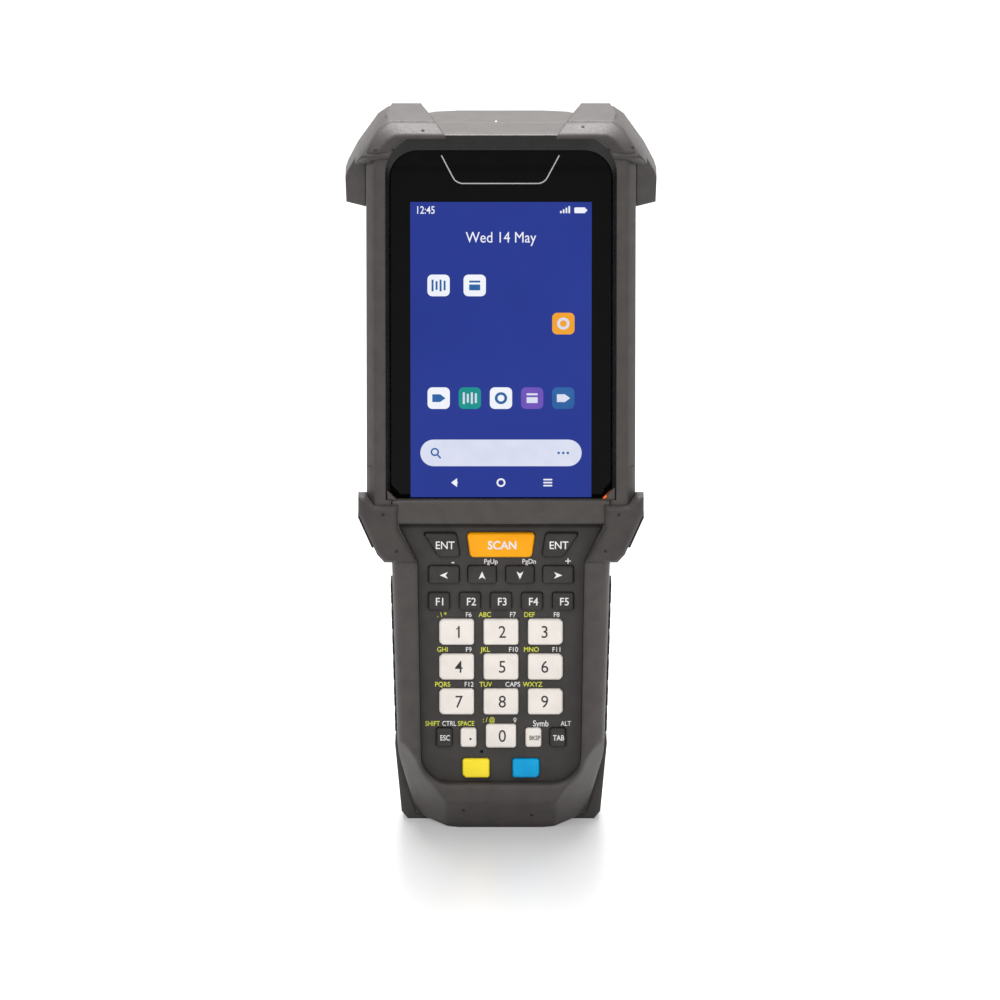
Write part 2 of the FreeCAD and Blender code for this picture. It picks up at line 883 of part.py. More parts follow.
def make_front_shell():
    """Front case: rails round the display and keypad, ledges behind them and the chin."""
    body = new_body("front_shell")
    form_front(body)
    cut_chin(body)
    cut(body, "XZ_Plane", [head_hollow()], "0", ledge_back)
    hollow = "-wall"
    cut(body, "XZ_Plane", [mirrored([
        ("hollow_low_width / 2", "hollow_bottom"),
        (f"heel_width / 2 + ({hollow})", "heel_height"),
        (f"waist_width / 2 + ({hollow})", "waist_height"),
        (f"head_width / 2 + ({hollow})", "head_base"),
        (f"head_width / 2 + ({hollow})", "neck_high"),
    ])], "0", "board_front")
    rim = panel_outline("mat_margin + panel_gap", rounded=False)
    cut(body, "XZ_Plane", [rim], "board_front", mat_front)
    cut(body, "XZ_Plane", [panel_outline("-panel_ledge")], mat_front, panel_back)
    cut(body, "XZ_Plane", [panel_outline("panel_gap")], panel_back, "front_depth + wall")
    cut(body, "XZ_Plane", [strip_outline("strip_gap")], "strip_back", "front_depth + wall")
    cut(body, "XZ_Plane", [glass_outline("glass_gap")], ledge_front, "bezel_floor")
    cut(body, "XZ_Plane", [module_outline("module_gap")], ledge_back, ledge_front)
    mouth = new_sketch(body, "XZ_Plane", "front_depth")
    draw_outline(mouth, window_mouth())
    floor = new_sketch(body, "XZ_Plane", "bezel_floor")
    side = "(glass_width / 2 + glass_gap)"
    turn = "glass_top_round + glass_gap"
    draw_outline(floor, [
        (f"-{side}", "strip_top"),
        (side, "strip_top"),
        (side, "glass_top + glass_gap", turn),
        (f"-{side}", "glass_top + glass_gap", turn),
    ])
    bevel = body.newObject("PartDesign::SubtractiveLoft", "window_bevel")
    bevel.Profile = mouth
    bevel.Sections = [floor]
    bevel.Ruled = True
    for across, up in head_screws:
        add(body, "XZ_Plane", [polygon(across, up, "boss_width", SMALL_SIDES)], "0", ledge_back)
    wells = [
        polygon(across, up, "screw_shank_width + 2 * screw_gap", SMALL_SIDES)
        for across, up in head_screws + foot_screws
    ]
    cut(body, "XZ_Plane", wells, "0", "screw_reach + screw_gap")
    cut(body, "XZ_Plane", [seal_outer, seal_inner], "0", "seal_height / 2")
    cut(body, "XZ_Plane", [stem_well, flipped(stem_well)],
        "stem_place - trigger_gap", "stem_place + stem_width + trigger_gap")
    cut(body, "XZ_Plane", [grip_well, flipped(grip_well)], "0", "grip_front")
    return body


# Rear shell

bay_front = "(battery_gap / 2 - battery_front)"
latch_front = "(latch_thickness - latch_proud - grip_depth)"
latch_clear = f"({latch_front} + battery_gap)"
tongue_half = "(tongue_width / 2 + battery_gap)"
slot_heights = [f"speaker_height + {step} * speaker_slot_pitch" for step in (-1.5, -0.5, 0.5, 1.5)]
contact_places = [f"{step} * contact_pitch" for step in (-3.5, -2.5, -1.5, -0.5, 0.5, 1.5, 2.5, 3.5)]


def battery_outline(grow="0"):
    """Outline of the battery with faceted corners, grown on every side."""
    return rectangle(
        "0", "(battery_bottom + battery_top) / 2", "battery_width", "battery_top - battery_bottom",
        ("battery_round",) * 4, grow,
    )


def make_rear_shell():
    """Rear case: grip back with the battery bay, head with the scan window's hump."""
    body = new_body("rear_shell")
    form_back(body)
    cut(body, "XZ_Plane", [head_hollow()], "wall - flank_depth", "0")
    cut(body, "XZ_Plane", [mirrored([
        ("chin_width / 2 - wall", "hollow_bottom"),
        ("heel_width / 2 - wall", "heel_height"),
        ("waist_width / 2 - wall", "waist_height"),
        ("head_width / 2 - wall", "head_base"),
        ("head_width / 2 - wall", "head_base + wall"),
    ])], f"{bay_front} + bay_floor", "0")
    cut(body, "XZ_Plane", [band(
        "wall - hump_shoulder_width / 2", "hump_shoulder_width / 2 - wall",
        "hump_heel", "case_height - wall",
    )], "wall - hump_shoulder_depth", "wall - flank_depth")
    cut(body, "XZ_Plane", [battery_outline("battery_gap")], "-(grip_depth + wall)", bay_front)
    latch_half = "(latch_width / 2 + battery_gap)"
    latch_well = "latch_bottom + latch_height + latch_travel + battery_gap"
    cut(body, "XZ_Plane", [
        band(f"-{latch_half}", latch_half, "latch_bottom - battery_gap", latch_well),
    ], "-(grip_depth + wall)", latch_clear)
    cut(body, "XZ_Plane", [
        band(f"-{tongue_half}", tongue_half, "battery_top", "latch_bottom"),
    ], "-(grip_depth + wall)", latch_clear)
    for across, up in standoffs:
        start = f"{bay_front}" if up.startswith("main_board_bottom") else "wall / 2 - flank_depth"
        post = polygon(across, up, "standoff_width", SMALL_SIDES)
        add(body, "XZ_Plane", [post], start, "main_board_back")
    for across, up in head_screws:
        boss = polygon(across, up, "boss_width", SMALL_SIDES)
        add(body, "XZ_Plane", [boss], "wall / 2 - flank_depth", "0")
    for screws, depth in ((head_screws, "flank_depth"), (foot_screws, "grip_depth")):
        shanks = [
            polygon(across, up, "screw_shank_width + 2 * screw_gap", SMALL_SIDES)
            for across, up in screws
        ]
        heads = [
            polygon(across, up, "screw_head_width + 2 * screw_head_gap", ROUND_SIDES)
            for across, up in screws
        ]
        cut(body, "XZ_Plane", shanks, f"-{depth}", "0")
        cut(body, "XZ_Plane", heads, f"-({depth} + wall)",
            f"screw_sink + screw_head_thickness - {depth}")
    cut(body, "XZ_Plane", [seal_outer, seal_inner], "-seal_height / 2", "0")
    cut(body, "XZ_Plane", [grip_well, flipped(grip_well)], "-grip_back", "0")
    wells = [
        rectangle(place, "contact_place", "contact_width", "contact_length", grow="screw_gap")
        for place in contact_places
    ]
    cut(body, "XY_Plane", wells, "0", "contact_depth")
    cut(body, "XZ_Plane", [band(
        "-(window_width / 2 + window_gap)", "window_width / 2 + window_gap",
        "window_bottom - window_gap", "window_top + window_gap",
    )], "-(hump_depth + wall)", "window_thickness - window_back")
    cut(body, "XZ_Plane", [band(
        "-(window_width / 2 - window_ledge)", "window_width / 2 - window_ledge",
        "window_bottom + window_ledge", "window_top - window_ledge",
    )], "-hump_depth", "wall - hump_shoulder_depth")
    cut(body, "XZ_Plane", [
        polygon("0", "camera_height", "camera_width + 2 * camera_gap", ROUND_SIDES),
        polygon("0", "camera_height - flash_drop", "flash_width + 2 * camera_gap", ROUND_SIDES),
    ], "-(flank_depth + wall)", "wall - flank_depth")
    slots = [
        rectangle("-speaker_place", height, "speaker_slot_width", "speaker_slot_height")
        for height in slot_heights
    ]
    cut(body, "XZ_Plane", slots, "-(flank_depth + wall)", "wall - flank_depth")
    return body


def make_case_tool():
    """Solid form of the whole case, grown by the fitting gap, that guards are cut to fit."""
    front = new_body("case_tool_front")
    form_front(front, "fit_gap")
    back = new_body("case_tool_back")
    form_back(back, "fit_gap")
    return boolean("MultiFuse", "case_tool", front, back)


# Rubber guards

def make_top_bumper(tool):
    """Right top corner bumper: a slanted ear, a side wing and a raised crown."""
    ear = new_body("bumper_ear")
    add(ear, "XZ_Plane", [[
        ("bumper_inner_place", "bumper_top - bumper_inner_drop"),
        ("bumper_inner_place", "bumper_bottom + wall"),
        ("head_width / 2 - wall", "bumper_bottom"),
        ("bumper_foot_width / 2", "bumper_bottom"),
        ("bumper_width / 2", "bumper_ear_low"),
        ("bumper_ear_width / 2", "bumper_ear_height"),
        ("bumper_side_width / 2", "bumper_side_height"),
        ("bumper_peak_width / 2", "bumper_peak"),
        ("bumper_peak_width / 2 - bumper_corner_cut", "bumper_top"),
        ("bumper_crest_place", "bumper_top"),
    ]], "-bumper_back", "bumper_front")
    outside = "-(bumper_front + wall)"
    cut(ear, "YZ_Plane", [[
        (outside, "bumper_bottom - wall"),
        ("-bumper_wing_front", "bumper_bottom - wall"),
        ("-bumper_wing_front", "bumper_fold_low"),
        ("-bumper_fold_depth", "bumper_fold_low"),
        ("-bumper_front", "bumper_fold"),
        (outside, "bumper_fold"),
    ]], "0", "bumper_width")
    cut(ear, "YZ_Plane", [[
        ("-bumper_slope_front", "bumper_top"),
        ("-bumper_slope_front", "bumper_top + wall"),
        (outside, "bumper_top + wall"),
        (outside, "bumper_top - bumper_slope_drop"),
        ("-bumper_front", "bumper_top - bumper_slope_drop"),
    ]], "0", "bumper_width")
    side = "bumper_width / 2"
    cut(ear, "XY_Plane", [[
        (f"{side} - bumper_wing_bevel", "-bumper_wing_front"),
        (f"{side} - bumper_wing_bevel", outside),
        (f"{side} + wall", outside),
        (f"{side} + wall", "bumper_wing_bevel - bumper_wing_front"),
        (side, "bumper_wing_bevel - bumper_wing_front"),
    ]], "bumper_bottom - wall", "bumper_fold_low")
    cut(ear, "XY_Plane", [[
        (f"{side} - bumper_corner_cut", "-bumper_front"),
        (f"{side} - bumper_corner_cut", outside),
        (f"{side} + wall", outside),
        (f"{side} + wall", "bumper_wing_bevel - bumper_front"),
        (side, "bumper_wing_bevel - bumper_front"),
    ]], "bumper_fold_low", "bumper_top + wall")
    add(ear, "XY_Plane", [[
        ("bumper_crest_place", "-bumper_back"),
        ("bumper_crest_place + crown_step", "0"),
        ("bumper_crest_place + crown_taper", "crown_back"),
        ("bumper_peak_width / 2 - crown_taper", "crown_back"),
        ("bumper_peak_width / 2 - crown_step", "0"),
        ("bumper_peak_width / 2 - bumper_corner_cut", "-bumper_back"),
    ]], "case_height - bumper_fold_depth / 2", "bumper_top")
    mouth = new_body("bumper_mouth")
    add(mouth, "XZ_Plane", [window_mouth()], "0", "bumper_front + wall")
    trimmed = boolean("Cut", "bumper_trimmed", ear, tool)
    return boolean("Cut", "bumper_top_right", trimmed, mouth)


def make_shoulder_bumper(tool):
    """Right shoulder bumper: wraps the flare below the display and houses the scan trigger."""
    body = new_body("shoulder_block")
    low = slope_point("shoulder_slope", "0")
    block = add(body, "XZ_Plane", [[
        ("panel_mid_width / 2 + shoulder_inner_edge", "shoulder_foot"),
        ("shoulder_foot_place", "shoulder_foot"),
        low,
        ("shoulder_out", "shoulder_high"),
        ("shoulder_out", "shoulder_wing_top"),
        ("head_width / 2 + shoulder_inner_edge", "shoulder_wing_top"),
        ("head_width / 2 - wall", "shoulder_brow"),
        ("shoulder_inner_place", "shoulder_brow"),
        ("shoulder_inner_place", "panel_flare_height"),
    ]], "-shoulder_back", "shoulder_front")
    dress(
        body, "Chamfer", block, lambda edge: at_ahead(edge, "shoulder_front"), Size="shoulder_bevel",
    )
    cut(body, "YZ_Plane", [[
        ("-shoulder_wing_front", "shoulder_wing_top"),
        ("shoulder_back", "shoulder_wing_low"),
        ("shoulder_back + wall", "shoulder_wing_low"),
        ("shoulder_back + wall", "shoulder_wing_top + wall"),
        ("-shoulder_wing_front", "shoulder_wing_top + wall"),
    ]], "0", "head_width")
    reach = "(trigger_width / 2 + trigger_gap)"
    cut(body, "XZ_Plane", [trigger_well], f"trigger_ahead - {reach}", f"trigger_ahead + {reach}")
    cut(body, "XZ_Plane", [stem_well],
        "stem_place - trigger_gap", "stem_place + stem_width + trigger_gap")
    return boolean("Cut", "bumper_shoulder_right", body, tool)


def make_corner_guard(tool):
    """Right rear corner guard: fills out the foot behind the tapering chin."""
    body = new_body("corner_block")
    block = add(body, "XZ_Plane", [[
        ("foot_width / 2", "0"),
        ("corner_foot_width / 2", "0"),
        ("corner_low_width / 2", "corner_low"),
        ("corner_width / 2", "corner_high"),
        (f"{case_side('corner_top')} + fit_gap", "corner_top"),
        (f"{case_side('corner_top')} - wall", "corner_top"),
    ]], "-corner_depth", "-corner_start")
    dress(
        body, "Chamfer", block,
        lambda edge: at_ahead(edge, "-corner_depth") and edge.BoundBox.ZMin > TOUCH,
        Size="wall",
    )
    return boolean("Cut", "rear_corner_right", body, tool)


def make_side_grip():
    """Right side grip: a soft strip with paired ribs that stand out of the case."""
    body = new_body("side_grip_right")
    grow = "screw_gap"
    add(body, "XZ_Plane", [grip_band(
        "-grip_recess", "grip_base - grip_recess", f"grip_bottom + {grow}", f"grip_top - {grow}",
    )], f"{grow} - grip_back", f"grip_front - {grow}")
    ribs = []
    for pair in range(RIB_PAIRS):
        for place in range(2):
            top = f"rib_first - {pair} * rib_pair_pitch - {place} * (rib_height + rib_gap)"
            ribs.append(grip_band("grip_base / 2 - grip_recess", "grip_proud",
                                  f"{top} - rib_height", top))
    add(body, "XZ_Plane", ribs, f"{grow} - grip_back", f"grip_front - {grow}")
    return body


def make_trigger():
    """Right scan trigger: a bar in the shoulder bumper with a stem through the case wall."""
    body = new_body("trigger_right")
    add(body, "XZ_Plane", [
        slope_box(trigger_start, trigger_end, "-trigger_body", "trigger_proud"),
    ], "trigger_ahead - trigger_width / 2", "trigger_ahead + trigger_width / 2")
    add(body, "XZ_Plane", [slope_box(
        "trigger_place - stem_width / 2", "trigger_place + stem_width / 2",
        "-(trigger_body + stem_reach)", "-trigger_body",
    )], "stem_place", "stem_place + stem_width")
    return body


# Display group

def make_display_group():
    """Glass, its gasket, the display module, the strip below and the status light."""
    glass = new_body("display_glass")
    add(glass, "XZ_Plane", [glass_outline()], glass_back, "glass_front")
    gasket = new_body("display_gasket")
    add(gasket, "XZ_Plane", [glass_outline(), glass_outline("-gasket_width")],
        ledge_front, glass_back)
    module = new_body("display_module")
    add(module, "XZ_Plane", [module_outline()], f"{glass_back} - module_thickness", glass_back)
    strip = new_body("middle_strip")
    block = add(strip, "XZ_Plane", [strip_outline()], "strip_back", "front_depth")
    top = amount("strip_top")
    dress(
        strip, "Chamfer", block,
        lambda edge: at_ahead(edge, "front_depth") and edge.BoundBox.ZMin > top - TOUCH,
        Size="strip_edge",
    )
    light = new_body("status_light")
    corner = "(glass_width / 2 - fit_gap)"
    add(light, "XZ_Plane", [[
        (f"{corner} - light_size", "strip_top + fit_gap"),
        (corner, "strip_top + fit_gap"),
        (corner, "strip_top + fit_gap + light_size"),
    ]], "glass_front", "glass_front + light_thickness")
    return [glass, gasket, module, strip, light]


# Keys and the layers behind them

def block_key(across, up, width, height, radii=("key_round",) * 4):
    """Outline maker of an upright rectangular key, which takes how far it is grown."""
    return lambda grow="0", rounded=True: rectangle(
        across, up, width, height, radii if rounded else None, grow,
    )


def slanted_key(side, low, top, inner_low, inner_top):
    """Outline maker of a key in the scan row with slanting sides, for one side of the panel."""
    def outline(grow="0", rounded=True):
        leg = facet("key_round_slanted", grow) if rounded else "0"
        corners = []
        for edge, start, end in ((-1, inner_low, inner_top), (1, low, top)):
            slope = f"((({end}) - ({start})) / scan_height)"
            lean = f"sqrt(1 + {slope} ^ 2)"
            reach = f"({edge} * ({grow}) * {lean})"
            ends = []
            for rise, place in ((-1, start), (1, end)):
                across = f"(({place}) + {reach} + {rise} * ({grow}) * {slope})"
                up = f"(scan_row + {rise} * (scan_height / 2 + ({grow})))"
                along = (f"{across} - ({edge}) * {leg}", up)
                upright = (f"{across} - ({rise}) * {leg} * {slope} / {lean}",
                           f"{up} - ({rise}) * {leg} / {lean}")
                pair = [along, upright] if rounded else [(across, up)]
                ends += pair if rise < 0 else pair[::-1]
            corners += ends if edge > 0 else ends[::-1]
        return corners if side > 0 else flipped(corners)
    return outline


def key_plan():
    """Every key's outline maker and its centre, row by row from the top."""
    plan = {
        "key_enter_left": (
            slanted_key(-1, "enter_outer_low", "enter_outer_top",
                        "enter_inner_low", "enter_inner_top"),
            "-(enter_outer_low + enter_inner_top) / 2", "scan_row"),
        "key_scan": (
            slanted_key(1, "scan_low_width / 2", "scan_top_width / 2",
                        "-scan_low_width / 2", "-scan_top_width / 2"),
            "0", "scan_row"),
        "key_enter_right": (
            slanted_key(1, "enter_outer_low", "enter_outer_top",
                        "enter_inner_low", "enter_inner_top"),
            "(enter_outer_low + enter_inner_top) / 2", "scan_row"),
    }
    arrows = {
        "key_arrow_left": ("-arrow_outer_place", "arrow_outer_width"),
        "key_arrow_up": ("-arrow_place", "arrow_width"),
        "key_arrow_down": ("arrow_place", "arrow_width"),
        "key_arrow_right": ("arrow_outer_place", "arrow_outer_width"),
    }
    for name, (across, width) in arrows.items():
        plan[name] = (block_key(across, "arrow_row", width, "arrow_height"), across, "arrow_row")
    for number in range(1, 6):
        across = f"{number - 3} * function_pitch"
        plan[f"key_f{number}"] = (
            block_key(across, "function_row", "function_width", "function_height"),
            across, "function_row")
    soft, small = "key_round_large", "key_round"
    turns = {-1: (soft, small, small, soft), 0: (small,) * 4, 1: (small, soft, soft, small)}
    for digit in range(1, 10):
        column, row = (digit - 1) % 3 - 1, (digit - 1) // 3
        across = f"{column} * digit_pitch"
        up = f"digit_row - {row} * digit_row_pitch"
        plan[f"key_{digit}"] = (
            block_key(across, up, "digit_width", "digit_height", turns[column]), across, up)
    lower = {
        "key_escape": ("-small_outer_place", "small_row", "small_width", "small_height"),
        "key_point": ("-small_inner_place", "small_row", "small_width", "small_height"),
        "key_0": ("0", "zero_row", "zero_width", "zero_height"),
        "key_back": ("small_inner_place", "small_row", "small_width", "small_height"),
        "key_tab": ("small_outer_place", "small_row", "small_width", "small_height"),
    }
    for name, (across, up, width, height) in lower.items():
        plan[name] = (block_key(across, up, width, height), across, up)
    for name, side, turn in (
        ("key_yellow", "-", (soft, small, small, small)),
        ("key_blue", "", (small, soft, small, small)),
    ):
        across = f"{side}colour_place"
        plan[name] = (
            block_key(across, "colour_row", "colour_width", "colour_height", turn),
            across, "colour_row")
    return plan


def make_key(name, outline, across, up):
    """One key: a bevelled cap, a flange that holds it behind the panel and a plunger."""
    body = new_body(name)
    front = "(panel_front + key_rise)"
    cap = add(body, "XZ_Plane", [outline()], flange_front, front)
    dress(body, "Chamfer", cap, lambda edge: at_ahead(edge, front), Size="key_edge")
    add(body, "XZ_Plane", [outline("key_flange", rounded=False)], flange_back, flange_front)
    half = "plunger_width / 2"
    add(body, "XZ_Plane", [band(
        f"{across} - {half}", f"{across} + {half}", f"{up} - {half}", f"{up} + {half}",
    )], plunger_back, flange_back)
    return body


def make_keypad_group(plan):
    """Panel, silicone mat, metal domes and key board."""
    panel = new_body("keypad_panel")
    add(panel, "XZ_Plane", [panel_outline()], panel_back, "panel_front")
    outlines = [outline("key_gap") for outline, across, up in plan.values()]
    for first in range(0, len(outlines), SKETCH_KEYS):
        cut(panel, "XZ_Plane", outlines[first:first + SKETCH_KEYS], panel_back, "panel_front")
    cut(panel, "XZ_Plane", [
        polygon("-microphone_place", "microphone_height", "microphone_width", SMALL_SIDES),
    ], panel_back, "panel_front")
    mat = new_body("keypad_mat")
    add(mat, "XZ_Plane", [panel_outline("mat_margin", rounded=False)], "board_front", mat_front)
    cut(mat, "XZ_Plane", [panel_outline("mat_margin - mat_rim", rounded=False)],
        "board_front", mat_back)
    half = "mat_hole_width / 2"
    holes = [
        band(f"{across} - {half}", f"{across} + {half}", f"{up} - {half}", f"{up} + {half}")
        for outline, across, up in plan.values()
    ]
    cut(mat, "XZ_Plane", holes, mat_back, mat_front)
    board = new_body("keypad_board")
    add(board, "XZ_Plane", [panel_outline("board_margin", rounded=False)],
        "board_front - board_thickness", "board_front")
    domes = []
    for name, (outline, across, up) in plan.items():
        dome = prism("dome_" + name[4:], across, up, "board_front", "board_front + dome_height",
                     "dome_width", DOME_SIDES)
        domes.append(dome)
    return [panel, mat, board, boolean("Compound", "key_domes", *domes)]


# Inner pieces, battery and fastenings

def make_inner_group():
    """Main board, scan engine and window, camera, speaker and vibration motor."""
    board = new_body("main_board")
    add(board, "XZ_Plane", [band(
        "-main_board_width / 2", "main_board_width / 2", "main_board_bottom", "main_board_top",
    )], "main_board_back", "main_board_back + main_board_thickness")
    window = new_body("scan_window")
    add(window, "XZ_Plane", [band(
        "-window_width / 2", "window_width / 2", "window_bottom", "window_top",
    )], "-window_back", "window_thickness - window_back")
    engine = new_body("scan_engine")
    engine_back = "(wall + engine_gap - hump_shoulder_depth)"
    middle = "engine_bottom + engine_height / 2"
    add(engine, "XZ_Plane", [band(
        "-engine_width / 2", "engine_width / 2", "engine_bottom", "engine_bottom + engine_height",
    )], engine_back, "main_board_back")
    cut(engine, "XZ_Plane", [
        polygon("-engine_lens_place", middle, "engine_lens_width", SMALL_SIDES),
        polygon("engine_lens_place", middle, "engine_light_width", SMALL_SIDES),
    ], engine_back, f"{engine_back} + engine_lens_depth")
    camera = new_body("camera_module")
    behind = "(wall - flank_depth)"
    barrel = polygon("0", "camera_height", "camera_width", ROUND_SIDES)
    add(camera, "XZ_Plane", [barrel], "camera_sink - flank_depth", behind)
    flange = rectangle("0", "camera_height", "camera_flange_width", "camera_flange_width")
    add(camera, "XZ_Plane", [flange], behind, f"{behind} + camera_flange_thickness")
    flash_foot = "camera_height - flash_drop"
    flash = polygon("0", flash_foot, "flash_width", ROUND_SIDES)
    add(camera, "XZ_Plane", [flash], "camera_sink - flank_depth", behind)
    add(camera, "XZ_Plane", [band(
        "-camera_width / 2", "camera_width / 2",
        f"{flash_foot} - flash_width", "camera_height",
    )], behind, f"{behind} + camera_flange_thickness / 2")
    speaker = prism("speaker", "-speaker_place", "speaker_height", behind,
                    f"{behind} + speaker_thickness", "speaker_width", ROUND_SIDES)
    motor = prism("vibration_motor", "speaker_place", "speaker_height", behind,
                  f"{behind} + motor_thickness", "motor_width", ROUND_SIDES)
    return [board, window, engine, camera, speaker, motor]


def make_battery_group():
    """Battery pack with a notched top, and the latch that holds it in its bay."""
    battery = new_body("battery_pack")
    block = add(battery, "XZ_Plane", [battery_outline()], "-battery_back", "-battery_front")
    dress(
        battery, "Chamfer", block, lambda edge: at_ahead(edge, "-battery_back"),
        Size="battery_back - grip_depth",
    )
    cut(battery, "XZ_Plane", [band(
        f"-{tongue_half}", tongue_half,
        "latch_bottom - tongue_reach - battery_gap", "battery_top + wall",
    )], "-(battery_back + wall)", latch_clear)
    latch = new_body("battery_latch")
    back = "(-(grip_depth + latch_proud))"
    add(latch, "XZ_Plane", [band(
        "-latch_width / 2", "latch_width / 2", "latch_bottom", "latch_bottom + latch_height",
    )], back, latch_front)
    add(latch, "XZ_Plane", [band(
        "-tongue_width / 2", "tongue_width / 2", "latch_bottom - tongue_reach", "latch_bottom",
    )], f"{latch_front} - tongue_thickness", latch_front)
    grooves = [
        rectangle("0", f"latch_bottom + latch_height / 2 + {step} * groove_pitch", "groove_width",
                  "groove_height")
        for step in (-1, 0, 1)
    ]
    cut(latch, "XZ_Plane", grooves, back, f"{back} + groove_depth")
    return [battery, latch]


def make_fastening_group():
    """Case screws, the seal between the shells and the dock contacts."""
    bars = []
    for index, (across, up) in enumerate(head_screws + foot_screws):
        depth = "flank_depth" if (across, up) in head_screws else "grip_depth"
        neck = f"(screw_sink + screw_head_thickness - {depth})"
        bars.append(prism(f"screw_head_{index}", across, up, f"screw_sink - {depth}",
                          neck, "screw_head_width", ROUND_SIDES))
        bars.append(prism(f"screw_shank_{index}", across, up, neck, "screw_reach",
                          "screw_shank_width", SMALL_SIDES))
    pairs = [
        boolean("MultiFuse", f"screw_{index}", *bars[2 * index:2 * index + 2])
        for index in range(len(bars) // 2)
    ]
    screws = boolean("Compound", "case_screws", *pairs)
    seal = new_body("shell_seal")
    add(seal, "XZ_Plane", [seal_outer, seal_inner], "-seal_height / 2", "seal_height / 2")
    contacts = []
    for index, place in enumerate(contact_places):
        contact = doc.addObject("Part::Box", f"contact_{index}")
        contact.setExpression("Length", linked("contact_width"))
        contact.setExpression("Width", linked("contact_length"))
        contact.setExpression("Height", linked("contact_depth - contact_sink"))
        contact.setExpression(".Placement.Base.x", linked(f"{place} - contact_width / 2"))
        contact.setExpression(".Placement.Base.y", linked("contact_place - contact_length / 2"))
        contact.setExpression(".Placement.Base.z", linked("contact_sink"))
        contacts.append(contact)
    return [screws, seal, boolean("Compound", "dock_contacts", *contacts)]


# Assembly

case_tool = make_case_tool()
parts = [make_front_shell(), make_rear_shell()]
for right, left in (
    (make_top_bumper(case_tool), "bumper_top_left"),
    (make_shoulder_bumper(case_tool), "bumper_shoulder_left"),
    (make_corner_guard(case_tool), "rear_corner_left"),
    (make_side_grip(), "side_grip_left"),
    (make_trigger(), "trigger_left"),
):
    parts += [right, mirror(left, right)]
parts += make_display_group()
keys = key_plan()
parts += [make_key(name, *key) for name, key in keys.items()]
parts += make_keypad_group(keys)
parts += make_inner_group()
parts += make_battery_group()
parts += make_fastening_group()

doc.recompute()
for item in doc.Objects:
    if "Invalid" in item.State or "Error" in item.State:
        raise RuntimeError(f"{item.Name} did not build: {item.State}")
for item in parts:
    if item.Shape.isNull() or not item.Shape.isValid():
        raise RuntimeError(f"{item.Label} has no valid shape")
for item in parts:
    item.Shape.exportStep(f"parts/{item.Label}.step")
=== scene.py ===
"""Dresses the CAD frame of a portable data terminal: finishes, legends, display and stage.

The terminal stands upright. X points to the viewer's right, Y away from the viewer and Z up, all in
metres. The front faces look along -Y, and "front" below is a distance ahead of Y = 0.
"""

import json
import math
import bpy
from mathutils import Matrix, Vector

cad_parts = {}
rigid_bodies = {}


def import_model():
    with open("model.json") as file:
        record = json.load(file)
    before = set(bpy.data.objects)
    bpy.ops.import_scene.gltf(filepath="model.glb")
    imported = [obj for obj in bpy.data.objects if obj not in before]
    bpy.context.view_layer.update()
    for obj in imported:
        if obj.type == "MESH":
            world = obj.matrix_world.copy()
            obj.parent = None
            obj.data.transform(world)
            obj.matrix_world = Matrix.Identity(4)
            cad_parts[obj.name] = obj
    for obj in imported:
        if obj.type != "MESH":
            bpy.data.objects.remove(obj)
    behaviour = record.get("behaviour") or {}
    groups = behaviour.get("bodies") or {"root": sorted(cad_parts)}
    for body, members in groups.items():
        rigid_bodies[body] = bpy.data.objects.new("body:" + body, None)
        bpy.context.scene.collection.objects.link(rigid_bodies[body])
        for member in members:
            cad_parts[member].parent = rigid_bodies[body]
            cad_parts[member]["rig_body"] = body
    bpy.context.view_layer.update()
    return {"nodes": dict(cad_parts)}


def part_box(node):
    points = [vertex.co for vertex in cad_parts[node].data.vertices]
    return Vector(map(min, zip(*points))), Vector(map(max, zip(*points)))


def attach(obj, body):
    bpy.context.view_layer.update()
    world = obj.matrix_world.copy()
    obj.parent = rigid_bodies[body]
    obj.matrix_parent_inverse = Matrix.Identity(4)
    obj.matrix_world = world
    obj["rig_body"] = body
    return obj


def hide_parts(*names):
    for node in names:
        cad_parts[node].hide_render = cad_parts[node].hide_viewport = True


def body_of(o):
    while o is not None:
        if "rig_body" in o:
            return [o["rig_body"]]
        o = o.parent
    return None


bl_info = {
    "name": "Portable data terminal",
    "version": (1, 0, 0),
    "blender": (4, 5, 0),
    "location": "View3D > Sidebar > Terminal",
    "description": "Finishes and details of a rugged handheld terminal",
    "category": "Object",
}

import bmesh
import bpy
from mathutils import Matrix, Vector

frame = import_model()

MM = 0.001
BODY = "case"
# How far printed ink and thin plates stand proud of what carries them
INK = 0.03 * MM


# Colour and node helpers

def colour(code):
    """Turn an sRGB hex value into linear light."""
    parts = [int(code[place:place + 2], 16) / 255 for place in (1, 3, 5)]
    light = [part / 12.92 if part <= 0.04045 else ((part + 0.055) / 1.055) ** 2.4 for part in parts]
    return (*light, 1.0)


def add_node(tree, kind, values=None, links=None, **settings):
    """Add a node with its settings, socket values and incoming links."""
    node = tree.nodes.new(kind)
    for name, value in settings.items():
        setattr(node, name, value)
    for socket, value in (values or {}).items():
        node.inputs[socket].default_value = value
    for socket, source in (links or {}).items():
        tree.links.new(source, node.inputs[socket])
    return node


def blank_material(name):
    """Start a material with an empty node tree."""
    material = bpy.data.materials.new(name)
    material.use_nodes = True
    material.node_tree.nodes.clear()
    return material


# A noise texture's values lie mostly within these: its broad clouds, and its fine grain
CLOUD_SPREAD = (0.35, 0.65)
GRAIN_SPREAD = (0.3, 0.7)


